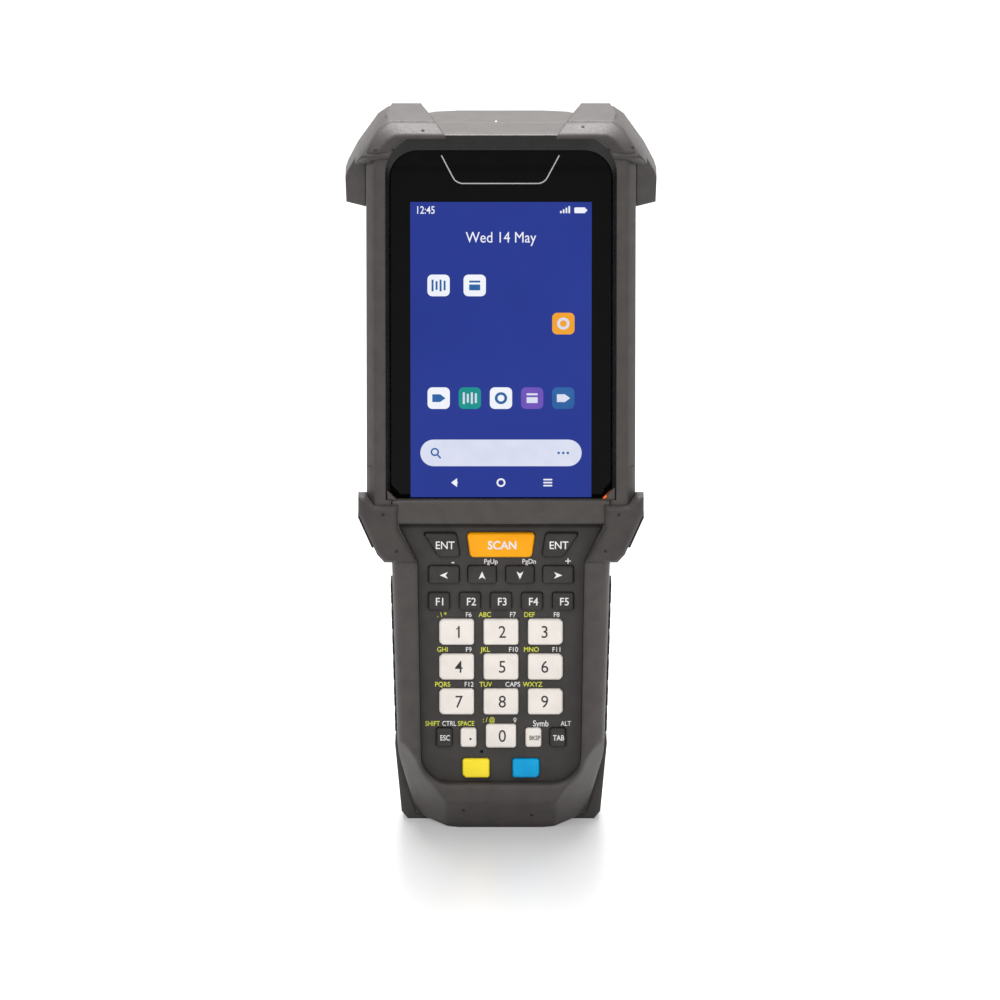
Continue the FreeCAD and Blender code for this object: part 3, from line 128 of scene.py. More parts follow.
def mottled(name, base, shade, grain, depth, rough, patch=5.0, shader=None, glow=None, edge=None):
    """A finish mottled from base to shade over patch mm, with a raised grain.

    grain and depth are the grain's size and relief in mm, and rough its least and most roughness.
    Where edge is given, light runs over the piece's edges as over rounds of that radius in mm.
    """
    material = blank_material(name)
    tree = material.node_tree
    place = add_node(tree, "ShaderNodeTexCoord").outputs["Object"]
    cloud = add_node(
        tree, "ShaderNodeTexNoise", {"Scale": 1 / (patch * MM), "Detail": 4.0}, {"Vector": place},
    )
    fine = add_node(
        tree, "ShaderNodeTexNoise", {"Scale": 1 / (grain * MM), "Detail": 2.0}, {"Vector": place},
    )
    share = add_node(
        tree, "ShaderNodeMapRange", {"From Min": CLOUD_SPREAD[0], "From Max": CLOUD_SPREAD[1]},
        {"Value": cloud.outputs["Fac"]},
    )
    # A colour mix takes its two colours in sockets 6 and 7, and gives the result in output 2
    paint = add_node(
        tree, "ShaderNodeMix", {6: colour(base), 7: colour(shade)},
        {"Factor": share.outputs["Result"]}, data_type="RGBA",
    )
    gloss = add_node(
        tree, "ShaderNodeMapRange",
        {"From Min": GRAIN_SPREAD[0], "From Max": GRAIN_SPREAD[1],
         "To Min": rough[0], "To Max": rough[1]},
        {"Value": fine.outputs["Fac"]},
    )
    relief = add_node(
        tree, "ShaderNodeBump", {"Strength": 1.0, "Distance": depth * MM},
        {"Height": fine.outputs["Fac"]},
    )
    if edge:
        over = add_node(tree, "ShaderNodeBevel", {"Radius": edge * MM}, samples=6)
        tree.links.new(over.outputs["Normal"], relief.inputs["Normal"])
    surface = add_node(
        tree, "ShaderNodeBsdfPrincipled", shader,
        {"Roughness": gloss.outputs["Result"], "Normal": relief.outputs["Normal"]},
    )
    # What glows is drawn by its own light over black, so the studio doesn't wash it out
    socket = "Emission Color" if glow else "Base Color"
    tree.links.new(paint.outputs[2], surface.inputs[socket])
    if glow:
        surface.inputs["Base Color"].default_value = (0, 0, 0, 1)
        surface.inputs["Emission Strength"].default_value = glow
    add_node(tree, "ShaderNodeOutputMaterial", None, {"Surface": surface.outputs["BSDF"]})
    return material


# Finishes

FINISHES = {}


def finish(key, *args, **kwargs):
    """Make a finish and keep it under a short key."""
    FINISHES[key] = mottled(*args, **kwargs)


def make_finishes():
    """Make every finish of the terminal."""
    # Spark-eroded PC/ABS: a satin skin whose fine pits scatter the light and show wear as paler
    # patches
    skin = {"IOR": 1.52, "Specular IOR Level": 0.36}
    finish("case", "Spark-eroded PC-ABS, brown grey", "#3b3735", "#413d3a", 0.35, 0.035,
           (0.38, 0.5), shader=skin, edge=1.3)
    # The shell's rails and chin are drawn with wide soft rounds
    finish("shell", "Spark-eroded PC-ABS, soft rounds", "#393533", "#413c3a", 0.35, 0.035,
           (0.38, 0.5), shader=skin, edge=3.2)
    # The bevel round the glass is painted dark: painted shade on its faces that lean inwards or
    # down, and a painted reflection of the dark glass
    finish("bevel_painted_shade", "Polished PC-ABS, dark bevel", "#131211", "#191817", 0.35, 0.005,
           (0.25, 0.32), shader={"IOR": 1.52, "Specular IOR Level": 0.2})
    # Painted shade: the dark of the small hollows that the injection gates leave in the rubber and
    # the chin, and the painted shadow under the strip
    finish("gate_mark", "Gate mark, dark", "#24211f", "#2b2826", 0.3, 0.01,
           (0.6, 0.7), shader={"Specular IOR Level": 0.2})
    # Overmoulded TPE: softer and a little duller than the case, and it picks up dust in patches
    finish("rubber", "Overmoulded TPE, brown grey", "#353130", "#3c3836", 0.5, 0.04,
           (0.45, 0.6), shader={"IOR": 1.5, "Specular IOR Level": 0.32, "Sheen Weight": 0.04,
                                "Sheen Roughness": 0.5}, edge=1.2)
    # Black TPE of the ribbed grips and triggers: matt, with a faint sheen on its edges
    finish("black_rubber", "Black TPE, ribbed grip", "#161515", "#1e1d1c", 0.4, 0.03,
           (0.55, 0.75), shader={"IOR": 1.5, "Specular IOR Level": 0.3})
    # Keypad panel: fine matt texture, darker than the case
    finish("panel", "Fine-textured PC, charcoal", "#312e2c", "#373432", 0.25, 0.02,
           (0.45, 0.6), shader={"IOR": 1.52, "Specular IOR Level": 0.3})
    # Hard-coated key caps: smooth with a soft gloss
    for key, tone, base, shade, rough in (
        ("key_white", "warm white", "#e4ddd6", "#eae3dc", (0.3, 0.38)),
        ("key_black", "charcoal", "#302e2d", "#383635", (0.34, 0.44)),
        ("key_orange", "orange", "#f19f06", "#f5a60a", (0.3, 0.38)),
        ("key_yellow", "yellow", "#f8e02e", "#fce538", (0.3, 0.38)),
        ("key_blue", "sky blue", "#0098d2", "#02a1da", (0.3, 0.38)),
    ):
        finish(key, "Hard-coated PC, " + tone, base, shade, 0.3, 0.006, rough,
               shader={"IOR": 1.5, "Specular IOR Level": 0.2})
    # Chemically hardened glass with black screen print behind it and a coating against glare
    finish("glass", "Hardened glass, black print", "#040504", "#060706", 6.0, 0.0,
           (0.05, 0.08), shader={"IOR": 1.5, "Specular IOR Level": 0.06})
    # Scan window: deep red filter glass that looks almost black
    finish("window", "Red filter glass", "#1a0406", "#220508", 6.0, 0.0,
           (0.04, 0.06), shader={"IOR": 1.52, "Specular IOR Level": 0.25})
    # Lit display: an LCD's own light through the glass, with a trace of the room on it
    lit = {"shader": {"Specular IOR Level": 0.05}, "glow": 1.0}
    finish("screen", "Lit LCD, deep blue", "#26378c", "#2b3c93", 30.0, 0.0, (0.12, 0.16),
           patch=60.0, **lit)
    for key, tone, base, shade in (
        ("screen_white", "white", "#eef1fa", "#f4f6fc"),
        ("screen_pale", "pale blue", "#d6dbef", "#dde1f2"),
        ("screen_teal", "teal", "#1d8f8a", "#22978f"),
        ("screen_amber", "amber", "#f0a02a", "#f4a836"),
        ("screen_violet", "violet", "#6b4fb4", "#7256ba"),
        ("screen_slate", "slate", "#2d5f9e", "#3367a6"),
    ):
        finish(key, "Lit LCD, " + tone, base, shade, 30.0, 0.0, (0.12, 0.16), **lit)
    finish("silver_print", "Silver screen print", "#a4a6a2", "#b0b2ae", 0.3, 0.002,
           (0.3, 0.4), shader={"Metallic": 0.4})
    # Pad-printed inks of the legends
    for key, tone, base, shade, rough in (
        ("ink_white", "white", "#dcdbdc", "#e6e5e6", (0.45, 0.55)),
        ("ink_yellow", "yellow", "#ced238", "#d7dc3c", (0.45, 0.55)),
        ("ink_dark", "dark grey", "#232121", "#2b2929", (0.4, 0.5)),
    ):
        finish(key, "Pad-printed ink, " + tone, base, shade, 0.3, 0.002, rough)
    # Light guide: clear tinted acrylic, lit from behind
    finish("light", "Tinted acrylic light guide, orange", "#f06a10", "#f67a1c", 1.0, 0.0,
           (0.2, 0.25), glow=1.0)
    # Blackened steel of the case screws
    finish("screw", "Blackened steel", "#6a6a6c", "#77777a", 0.2, 0.004, (0.3, 0.42),
           shader={"Metallic": 1.0})
    # Gold-plated charging contacts
    finish("gold", "Gold-plated brass", "#d9b45c", "#e3c06a", 0.15, 0.002, (0.2, 0.3),
           shader={"Metallic": 1.0})
    # Battery housing: black PC with a coarser texture than the case
    finish("battery", "Textured PC, black", "#1e1d1c", "#252322", 0.5, 0.03, (0.45, 0.6),
           shader={"Specular IOR Level": 0.3})
    finish("soft_seal", "Foam and rubber seal", "#262626", "#2e2e2e", 0.3, 0.02, (0.7, 0.85))
    finish("sheet_metal", "Nickel-plated sheet", "#b4b6b8", "#c0c2c4", 0.6, 0.004, (0.25, 0.4),
           shader={"Metallic": 1.0})
    finish("silicone", "Translucent silicone", "#cfcdc8", "#d9d7d2", 1.2, 0.01, (0.4, 0.5))
    finish("board", "Solder-masked glass fibre", "#1b5431", "#226139", 0.8, 0.01, (0.3, 0.45))
    # Lens glass of camera and flash
    finish("lens", "Coated lens glass", "#05060c", "#0b0e1c", 2.0, 0.0, (0.02, 0.04),
           shader={"IOR": 1.6, "Coat Weight": 0.6, "Coat Roughness": 0.02})
    finish("flash", "Fresnel lens, pale yellow", "#e8e0b0", "#f2ecc4", 0.25, 0.02, (0.15, 0.25),
           shader={"Transmission Weight": 0.2})


# Mesh helpers

# In degrees: faces that meet within the first are one flat, edges sharper than the second are
# rounded over, and edges sharper than the third stay sharp in the shading
FLAT_ANGLE = 0.8
EDGE_ANGLE = 24
SHADE_ANGLE = 32
# Vertices of a CAD node's loose triangles that are this close are one
SAME_PLACE = 0.002 * MM


def to_mesh(build, name):
    """Turn a bmesh into a mesh with its faces outwards."""
    bmesh.ops.recalc_face_normals(build, faces=build.faces)
    mesh = bpy.data.meshes.new(name)
    build.to_mesh(mesh)
    build.free()
    return mesh


def new_object(name, data):
    """Add an object to the scene."""
    item = bpy.data.objects.new(name, data)
    bpy.context.scene.collection.objects.link(item)
    return item


def add_piece(name, mesh, body, key):
    """Make a piece at the origin with its finish, riding on its body."""
    mesh.materials.clear()
    mesh.materials.append(FINISHES[key])
    piece = new_object(name, mesh)
    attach(piece, body)
    return piece


def evaluated_mesh(holder):
    """Give the mesh of an object as its modifiers leave it, then delete the object."""
    graph = bpy.context.evaluated_depsgraph_get()
    mesh = bpy.data.meshes.new_from_object(holder.evaluated_get(graph))
    bpy.data.objects.remove(holder)
    return mesh


def round_shading(mesh, angle=SHADE_ANGLE):
    """Shade a mesh smooth but for edges sharper than an angle in degrees."""
    mesh.polygons.foreach_set("use_smooth", [True] * len(mesh.polygons))
    mesh.set_sharp_from_angle(angle=math.radians(angle))


def rounded_over(mesh, width, steps, angle):
    """Copy a mesh with its edges sharper than an angle in degrees rounded over, in mm."""
    holder = new_object(mesh.name, mesh)
    bevel = holder.modifiers.new("edges", "BEVEL")
    bevel.width = width * MM
    bevel.segments = steps
    bevel.limit_method = "ANGLE"
    bevel.angle_limit = math.radians(angle)
    bevel.use_clamp_overlap = True
    return evaluated_mesh(holder)


def corner_edges(build):
    """The outer edges of a bmesh that run in depth."""
    return [
        line for line in build.edges
        if abs((line.verts[0].co - line.verts[1].co).normalized().y) > 0.9
        and line.calc_face_angle_signed(0) > math.radians(20)
    ]


def soften(node, width, key, steps=3, corner=None, lean=None):
    """Stand in for a CAD node with a copy whose sharp edges are rounded over, in mm.

    corner is the radius of the edges that run in depth, and lean moves a vertex.
    """
    source = frame["nodes"][node]
    build = bmesh.new()
    build.from_mesh(source.data)
    bmesh.ops.remove_doubles(build, verts=build.verts, dist=SAME_PLACE)
    bmesh.ops.dissolve_limit(
        build, angle_limit=math.radians(FLAT_ANGLE), verts=build.verts, edges=build.edges,
    )
    if corner:
        bmesh.ops.bevel(
            build, geom=corner_edges(build), offset=corner * MM, segments=4, profile=0.5,
            affect="EDGES", clamp_overlap=True,
        )
    if lean:
        for vertex in build.verts:
            lean(vertex.co)
    mesh = rounded_over(to_mesh(build, node + "_soft"), width, steps, EDGE_ANGLE)
    round_shading(mesh)
    # A CAD node rides on one body
    piece = add_piece(node + "_form", mesh, body_of(source)[0], key)
    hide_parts(node)


def dress(node, key):
    """Give a CAD node its finish."""
    source = frame["nodes"][node]
    source.data.materials.clear()
    source.data.materials.append(FINISHES[key])


# Flat plates and lettering

def plate(build, outline, front, thickness=INK):
    """Add a flat closed plate with an outline of (across, up) in mm, standing ahead of front."""
    near = [build.verts.new((x * MM, -front - thickness, z * MM)) for x, z in outline]
    far = [build.verts.new((x * MM, -front, z * MM)) for x, z in outline]
    build.faces.new(near)
    build.faces.new(list(reversed(far)))
    for i, vertex in enumerate(near):
        following = (i + 1) % len(near)
        build.faces.new((vertex, far[i], far[following], near[following]))


def rounded(across, up, width, height, radius, steps=8):
    """Outline of an upright rectangle with round corners, or of a disc where radius is half."""
    points = []
    for turn, (side, rise) in enumerate(((1, 1), (-1, 1), (-1, -1), (1, -1))):
        middle_x = across + side * (width / 2 - radius)
        middle_z = up + rise * (height / 2 - radius)
        for step in range(steps + 1):
            angle = math.pi / 2 * (turn + step / steps)
            points.append(
                (middle_x + radius * math.cos(angle), middle_z + radius * math.sin(angle)),
            )
    return points


def disc(across, up, width, steps=8):
    """Outline of a disc."""
    return rounded(across, up, width, width, width / 2 - 1e-4, steps)


def stroke(x1, z1, x2, z2, width):
    """Outline of a straight bar between two points."""
    run = Vector((x2 - x1, z2 - z1))
    side = Vector((-run.y, run.x)).normalized() * width / 2
    return [
        (x1 + side.x, z1 + side.y), (x1 - side.x, z1 - side.y),
        (x2 - side.x, z2 - side.y), (x2 + side.x, z2 + side.y),
    ]


def ring_bars(across, up, width, line, steps=28):
    """Outlines of short bars that make up a ring."""
    def spot(step, radius):
        angle = 2 * math.pi * step / steps
        return across + radius * math.cos(angle), up + radius * math.sin(angle)

    outer, inner = width / 2, width / 2 - line
    return [
        [spot(step, outer), spot(step, inner), spot(step + 1, inner), spot(step + 1, outer)]
        for step in range(steps)
    ]


def plate_piece(name, outlines, front, key, thickness=INK):
    """Make a piece of flat plates that stands on the case."""
    build = bmesh.new()
    for outline in outlines:
        plate(build, outline, front, thickness)
    add_piece(name, to_mesh(build, name), BODY, key)


# The built-in font's capitals stand this share of its size
CAPITAL_SHARE = 0.623


def lettering(build, words, height, across, up, front, bold=0.03, narrow=0.92):
    """Add words centred on a place, with capitals of a height in mm, facing the viewer."""
    curve = bpy.data.curves.new("letters", "FONT")
    curve.body = words
    curve.size = height * MM / CAPITAL_SHARE
    curve.align_x = "CENTER"
    curve.offset = bold * MM
    curve.extrude = INK / 2
    curve.resolution_u = 4
    holder = new_object("letters", curve)
    bpy.context.view_layer.update()
    mesh = evaluated_mesh(holder)
    place = (
        Matrix.Translation((across * MM, -front - INK / 2, (up - height / 2) * MM))
        @ Matrix.Rotation(math.pi / 2, 4, "X")
        @ Matrix.Diagonal((narrow, 1, 1, 1))
    )
    mesh.transform(place)
    build.from_mesh(mesh)
    bpy.data.meshes.remove(mesh)


def front_of(node):
    """How far a node's front face stands ahead of Y = 0, in metres."""
    return -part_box(node)[0][1]


def middle_of(node):
    """A node's middle across and up, in mm."""
    low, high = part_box(node)
    return (low[0] + high[0]) / 2 / MM, (low[2] + high[2]) / 2 / MM


# Geometry Nodes: one small item at each of many points

def start_tree(name, sizes):
    """Start a geometry tree with a mesh socket, a material socket and named sizes in metres."""
    tree = bpy.data.node_groups.new(name, "GeometryNodeTree")
    tree.interface.new_socket("Geometry", in_out="INPUT", socket_type="NodeSocketGeometry")
    for size, value in sizes.items():
        socket = tree.interface.new_socket(size, in_out="INPUT", socket_type="NodeSocketFloat")
        socket.subtype = "DISTANCE"
        socket.default_value = value
    tree.interface.new_socket("Finish", in_out="INPUT", socket_type="NodeSocketMaterial")
    tree.interface.new_socket("Geometry", in_out="OUTPUT", socket_type="NodeSocketGeometry")
    return tree


def end_tree(tree, inputs, item):
    """Put an item at every point, make it real, give it its finish and end the tree."""
    spread = add_node(
        tree, "GeometryNodeInstanceOnPoints", None,
        {"Points": inputs.outputs["Geometry"], "Instance": item},
    )
    real = add_node(
        tree, "GeometryNodeRealizeInstances", None, {"Geometry": spread.outputs["Instances"]},
    )
    skin = add_node(
        tree, "GeometryNodeSetMaterial", None,
        {"Geometry": real.outputs["Geometry"], "Material": inputs.outputs["Finish"]},
    )
    add_node(tree, "NodeGroupOutput", None, {"Geometry": skin.outputs["Geometry"]})
    return tree


def scaled(tree, size, factor):
    """A size of a tree times a factor."""
    return add_node(
        tree, "ShaderNodeMath", {1: factor}, {0: size}, operation="MULTIPLY",
    ).outputs[0]


def stud_tree():
    """Round heads with a six-sided socket, whose axis is the depth."""
    tree = start_tree("Socket heads", {
        "Head Width": 3.6 * MM, "Head Height": 0.2 * MM, "Socket Width": 1.9 * MM,
    })
    inputs = add_node(tree, "NodeGroupInput")
    # The socket's cutter is longer than the head is high, so it goes right through
    head = add_node(
        tree, "GeometryNodeMeshCylinder", {"Vertices": 32},
        {"Radius": scaled(tree, inputs.outputs["Head Width"], 0.5),
         "Depth": inputs.outputs["Head Height"]},
    )
    socket = add_node(
        tree, "GeometryNodeMeshCylinder", {"Vertices": 6},
        {"Radius": scaled(tree, inputs.outputs["Socket Width"], 0.5),
         "Depth": scaled(tree, inputs.outputs["Head Height"], 3.0)},
    )
    bored = add_node(
        tree, "GeometryNodeMeshBoolean", None,
        {"Mesh 1": head.outputs["Mesh"], "Mesh 2": socket.outputs["Mesh"]}, operation="DIFFERENCE",
    )
    turned = add_node(
        tree, "GeometryNodeTransform", {"Rotation": (math.pi / 2, 0, 0)},
        {"Geometry": bored.outputs["Mesh"]},
    )
    return end_tree(tree, inputs, turned.outputs["Geometry"])


def dimple_tree():
    """Small round gate marks: shallow cones with a flat top, tilted up from facing ahead."""
    tree = start_tree("Gate marks", {"Width": 1.0 * MM, "Height": 0.12 * MM, "Tilt": 0.0})
    inputs = add_node(tree, "NodeGroupInput")
    width = inputs.outputs["Width"]
    head = add_node(
        tree, "GeometryNodeMeshCone", {"Vertices": 20},
        {"Radius Top": scaled(tree, width, 0.3), "Radius Bottom": scaled(tree, width, 0.5),
         "Depth": inputs.outputs["Height"]},
    )
    # A cone's axis is up; a quarter turn less the tilt faces it forward and up
    lean = add_node(
        tree, "ShaderNodeMath", {0: math.pi / 2}, {1: inputs.outputs["Tilt"]},
        operation="SUBTRACT",
    )
    turn = add_node(tree, "ShaderNodeCombineXYZ", None, {"X": lean.outputs[0]})
    turned = add_node(
        tree, "GeometryNodeTransform", None,
        {"Geometry": head.outputs["Mesh"], "Rotation": turn.outputs[0]},
    )
    return end_tree(tree, inputs, turned.outputs["Geometry"])


def rib_tree():
    """Long round-topped ribs along X."""
    tree = start_tree("Grip ribs", {"Rib Length": 30 * MM, "Rib Height": 0.5 * MM})
    inputs = add_node(tree, "NodeGroupInput")
    bar = add_node(
        tree, "GeometryNodeMeshCylinder", {"Vertices": 16},
        {"Radius": scaled(tree, inputs.outputs["Rib Height"], 0.5),
         "Depth": inputs.outputs["Rib Length"]},
    )
    laid = add_node(
        tree, "GeometryNodeTransform", {"Rotation": (0, math.pi / 2, 0)},
        {"Geometry": bar.outputs["Mesh"]},
    )
    return end_tree(tree, inputs, laid.outputs["Geometry"])


def scatter(name, tree, points, key, inputs):
    """Run a geometry tree on points of the case in mm and keep its result as one plain piece."""
    cloud = bpy.data.meshes.new(name)
    cloud.from_pydata([(x * MM, y * MM, z * MM) for x, y, z in points], [], [])
    holder = new_object(name + "_points", cloud)
    modifier = holder.modifiers.new("items", "NODES")
    modifier.node_group = tree
    values = {"Finish": FINISHES[key], **inputs}
    for item in tree.interface.items_tree:
        if item.in_out == "INPUT" and item.name in values:
            modifier[item.identifier] = values[item.name]
    mesh = evaluated_mesh(holder)
    round_shading(mesh)
    add_piece(name, mesh, BODY, key)


# Case

# Gate marks: name, how many degrees they face upwards, slot, and places in mm as across, ahead of
# Y = 0 and up
GATE_MARKS = (
    ("gates_top", 66.0, "rubber_grey", ((-23.7, 14.2, 221.9), (24.9, 12.5, 222.6))),
    ("gates_side", 38.0, "rubber_grey", ((-38.1, 16.5, 216.5), (39.8, 15.3, 217.0))),
    ("gates_shoulder", 0.0, "rubber_grey", (
        (-36.0, 17.0, 101.7), (-31.9, 17.0, 90.1), (36.0, 17.0, 101.7), (31.9, 17.0, 90.1),
    )),
    ("gates_chin", -35.8, "case_plastic", ((-11.5, 13.2, 6.5), (9.4, 11.8, 4.55))),
)


# The pale mark on the shell's top: across and depth in mm, and its share of a gate mark's width
TOP_MARK = (-1.5, 2.4, 0.6)

# How far outside the glass the bevel with painted shade reaches
SHADED_BEVEL_REACH = 3.0 * MM


def paint_bevel_shade():
    """Paint shade on the bevel round the glass: a darker finish on its faces that lean inwards or
    down.
    """
    shell = frame["nodes"]["front_shell"].data
    shell.materials.append(FINISHES["bevel_painted_shade"])
    low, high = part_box("display_glass")
    reach = high[0] + SHADED_BEVEL_REACH
    for face in shell.polygons:
        beside = abs(face.center.x) < reach and face.center.z > low[2]
        leans_in = face.normal.x * face.center.x < 0 or face.normal.z < -0.02
        # A bevel faces neither straight ahead nor straight across
        if beside and leans_in and -0.99 < face.normal.y < -0.1 and face.center.y < low[1]:
            face.material_index = 1


# The inner wall of a head guard in mm: it is nearer to the middle than LEAN_SIDE and higher than
# LEAN_LOW, and it leans out by LEAN between these depths
LEAN_SIDE, LEAN_LOW, LEAN = 22.0, 213.0, 3.6
LEAN_FRONT, LEAN_BACK = -9.9, 9.0


def lean_guard(place):
    """Lean the inner wall of a head guard outwards towards the back."""
    side = abs(place.x) / MM
    if side < LEAN_SIDE and place.z / MM > LEAN_LOW:
        share = min(max((place.y / MM - LEAN_FRONT) / (LEAN_BACK - LEAN_FRONT), 0), 1)
        place.x = math.copysign((side + LEAN * share) * MM, place.x)


# Half of a head guard's lip as (across, ahead of Y = 0, up): its lower edge round the glass, the
# edge of its front, and the edge where it meets the guard
LIP_LOW = ((33.6, 16.0, 214.8), (32.5, 16.3, 217.3), (30.7, 16.4, 219.0), (28.4, 16.4, 219.7),
           (16.5, 16.4, 219.7))
LIP_FRONT = ((37.4, 17.0, 215.6), (34.8, 16.2, 219.2), (32.4, 15.9, 220.8), (29.0, 15.9, 221.1),
             (17.1, 15.9, 221.1))
LIP_HIGH = ((42.0, 16.7, 214.7), (37.3, 11.9, 221.5), (34.0, 10.0, 223.7), (30.0, 10.0, 223.7),
            (19.8, 10.0, 223.7))
# How far back and down from its lower edge the lip's inner edge lies, and its edges' radius, in mm
LIP_INSET, LIP_DROP, LIP_ROUND = 4.0, 0.5, 0.5
# The lip's own edge and shading angles in degrees, wider than the other pieces'
LIP_EDGE_ANGLE, LIP_SHADE_ANGLE = 30, 40


def guard_lip(side):
    """The rubber that runs from a head guard forward over the rim of the shell."""
    build = bmesh.new()
    rows = [
        [build.verts.new((side * x * MM, (inset - ahead) * MM, (up - drop) * MM))
         for x, ahead, up in row]
        for row, inset, drop in (
            (LIP_LOW, 0, 0), (LIP_FRONT, 0, 0), (LIP_HIGH, 0, 0), (LIP_LOW, LIP_INSET, LIP_DROP),
        )
    ]
    for i in range(len(LIP_LOW) - 1):
        for one, other in zip(rows, rows[1:] + rows[:1]):
            build.faces.new((one[i], one[i + 1], other[i + 1], other[i]))
    for i in (0, len(LIP_LOW) - 1):
        build.faces.new([row[i] for row in rows])
    mesh = rounded_over(to_mesh(build, "lip"), LIP_ROUND, 3, LIP_EDGE_ANGLE)
    round_shading(mesh, LIP_SHADE_ANGLE)
    name = "guard_lip_" + ("left" if side < 0 else "right")
    add_piece(name, mesh, BODY, "rubber")


# The painted shadow under the strip in mm: its height, and how far it falls short of the panel's
# sides
SHADOW_HEIGHT, SHADOW_SHORT = 1.9, 0.5


def strip_gap():
    """Paint the shadow that the strip casts on the panel, most of it behind the strip's edge."""
    right, _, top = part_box("keypad_panel")[1]
    middle, width = top / MM - SHADOW_HEIGHT / 2, 2 * (right / MM - SHADOW_SHORT)
    outline = rounded(0, middle, width, SHADOW_HEIGHT, 0.1, 2)
    plate_piece("strip_gap", [outline], front_of("keypad_panel"), "gate_mark")


def dress_case(settings):
    """Finish the shells, the strip, the guards and the grips."""
    dress("front_shell", "shell")
    dress("rear_shell", "case")
    paint_bevel_shade()
    marks = dimple_tree()
    # The gate marks are real, and their dark finish is painted shade of their small hollows
    for name, tilt, slot, places in GATE_MARKS:
        spots = [(across, -ahead, up) for across, ahead, up in places]
        scatter(name, marks, spots, "gate_mark",
                {"Width": settings.mark_width, "Tilt": math.radians(tilt)})
    across, depth, share = TOP_MARK
    scatter("top_mark", marks, [(across, depth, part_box("front_shell")[1][2] / MM)], "ink_white",
            {"Width": settings.mark_width * share, "Tilt": math.pi / 2})
    soften("middle_strip", 0.3, "case")
    strip_gap()
    edge = settings.edge_round / MM
    for side, end in ((-1, "left"), (1, "right")):
        soften("bumper_top_" + end, edge, "rubber", lean=lean_guard)
        guard_lip(side)
        soften("bumper_shoulder_" + end, edge, "rubber")
        soften("rear_corner_" + end, edge, "rubber")
    for node in ("side_grip_left", "side_grip_right", "trigger_left", "trigger_right"):
        soften(node, settings.grip_round / MM, "black_rubber", steps=2)


# Display

# Icons on the display: colour, place across and up in mm, and mark
ICONS = (
    ("screen_white", -19.0, 173.0, "bars"),
    ("screen_white", -8.0, 173.0, "box"),
    ("screen_amber", 19.0, 161.0, "ring"),
    ("screen_white", -19.0, 137.5, "tag"),
    ("screen_teal", -9.5, 137.5, "bars"),
    ("screen_white", 0.0, 137.5, "ring"),
    ("screen_violet", 9.5, 137.5, "box"),
    ("screen_slate", 19.0, 137.5, "tag"),
)

# The printed frame line at the head of the glass, as (across, up) in mm
FRAME_LINE = (
    (-18.1, 213.8), (-14.7, 207.1), (-14.1, 206.1), (-13.2, 205.4), (-12.0, 205.0), (11.5, 205.0),
    (12.7, 205.4), (13.6, 206.1), (14.2, 207.1), (17.7, 213.8),
)


def icon_marks(kind, across, up, size):
    """Outlines of a plain mark on an icon."""
    step = size / 5
    if kind == "bars":
        return [
            rounded(across + (place - 1.5) * step, up, step / 2, size * share, 0.05, 2)
            for place, share in enumerate((0.6, 0.45, 0.6, 0.5))
        ]
    if kind == "box":
        return [
            rounded(across, up + step, size * 0.55, step / 2, 0.1, 2),
            rounded(across, up - step / 2, size * 0.55, size * 0.3, 0.15, 3),
        ]
    if kind == "ring":
        return ring_bars(across, up, size * 0.62, size * 0.14)
    tag = ((-1.6, 1), (0.4, 1), (1.7, 0), (0.4, -1), (-1.6, -1))
    return [[(across + side * step, up + rise * step) for side, rise in tag]]


# The case's corners over the foot of the glass, in mm: how far they reach past its sides and below
# the strip's top, how far they stay ahead of the status light and behind the shell's front
CORNER_SIDE, CORNER_LOW, CORNER_CLEAR, CORNER_SUNK = 1.1, 0.1, 0.05, 0.2
# The right-hand corner covers the upper half of the status light, so it has inner points, in from
# its side and over its foot, and is taller than the other
OVER_LIGHT = ((2.25, 0.85), (2.6, 1.4))
OVER_LIGHT_TALLER = 1.0


def glass_corners(settings):
    """Cover the lower corners of the glass with wedges of the case."""
    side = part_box("display_glass")[1][0] / MM + CORNER_SIDE
    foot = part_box("middle_strip")[1][2] / MM - CORNER_LOW
    leg = settings.corner_leg / MM
    left = [(-side, foot), (-side, foot + leg), (leg - side, foot)]
    inner = [(side - inwards, foot + rise) for inwards, rise in OVER_LIGHT]
    right = [(side - leg, foot), *inner, (side, foot + leg + OVER_LIGHT_TALLER), (side, foot)]
    back = front_of("status_light") + CORNER_CLEAR * MM
    thickness = front_of("front_shell") - CORNER_SUNK * MM - back
    plate_piece("glass_corners", (left, right), back, "case", thickness)


def draw_status_row(build, half, high, front):
    """Draw the clock, the signal bars and the charge in the row at the picture's head."""
    row = high - 2.6
    lettering(build, "12:45", 2.1, -half + 4.6, row, front, bold=0.02, narrow=0.8)
    first_bar, pitch, bar_foot, bar_width = half - 9.4, 0.85, high - 3.5, 0.5
    for place, rise in enumerate((0.35, 0.6, 0.85, 1.1)):
        bar = rounded(first_bar + place * pitch, bar_foot + rise, bar_width, 2 * rise, 0.05, 2)
        plate(build, bar, front)
    plate(build, rounded(half - 3.6, row, 3.4, 1.8, 0.35, 3), front)
    plate(build, rounded(half - 1.7, row, 0.5, 0.8, 0.1, 2), front)


def draw_search_field(field, marks, up, front):
    """Draw the field with round ends, the reading glass at its left and the dots at its right."""
    plate(field, rounded(0, up, 49.2, 8.4, 4.1, 10), front)
    for outline in ring_bars(-20.2, up + 0.3, 2.6, 0.5):
        plate(marks, outline, front + INK)
    plate(marks, stroke(-19.3, up - 0.7, -18.4, up - 1.7, 0.5), front + INK)
    first_dot, pitch = 17.6, 1.4
    for step in range(3):
        plate(marks, disc(first_dot + pitch * step, up, 0.8), front + INK)


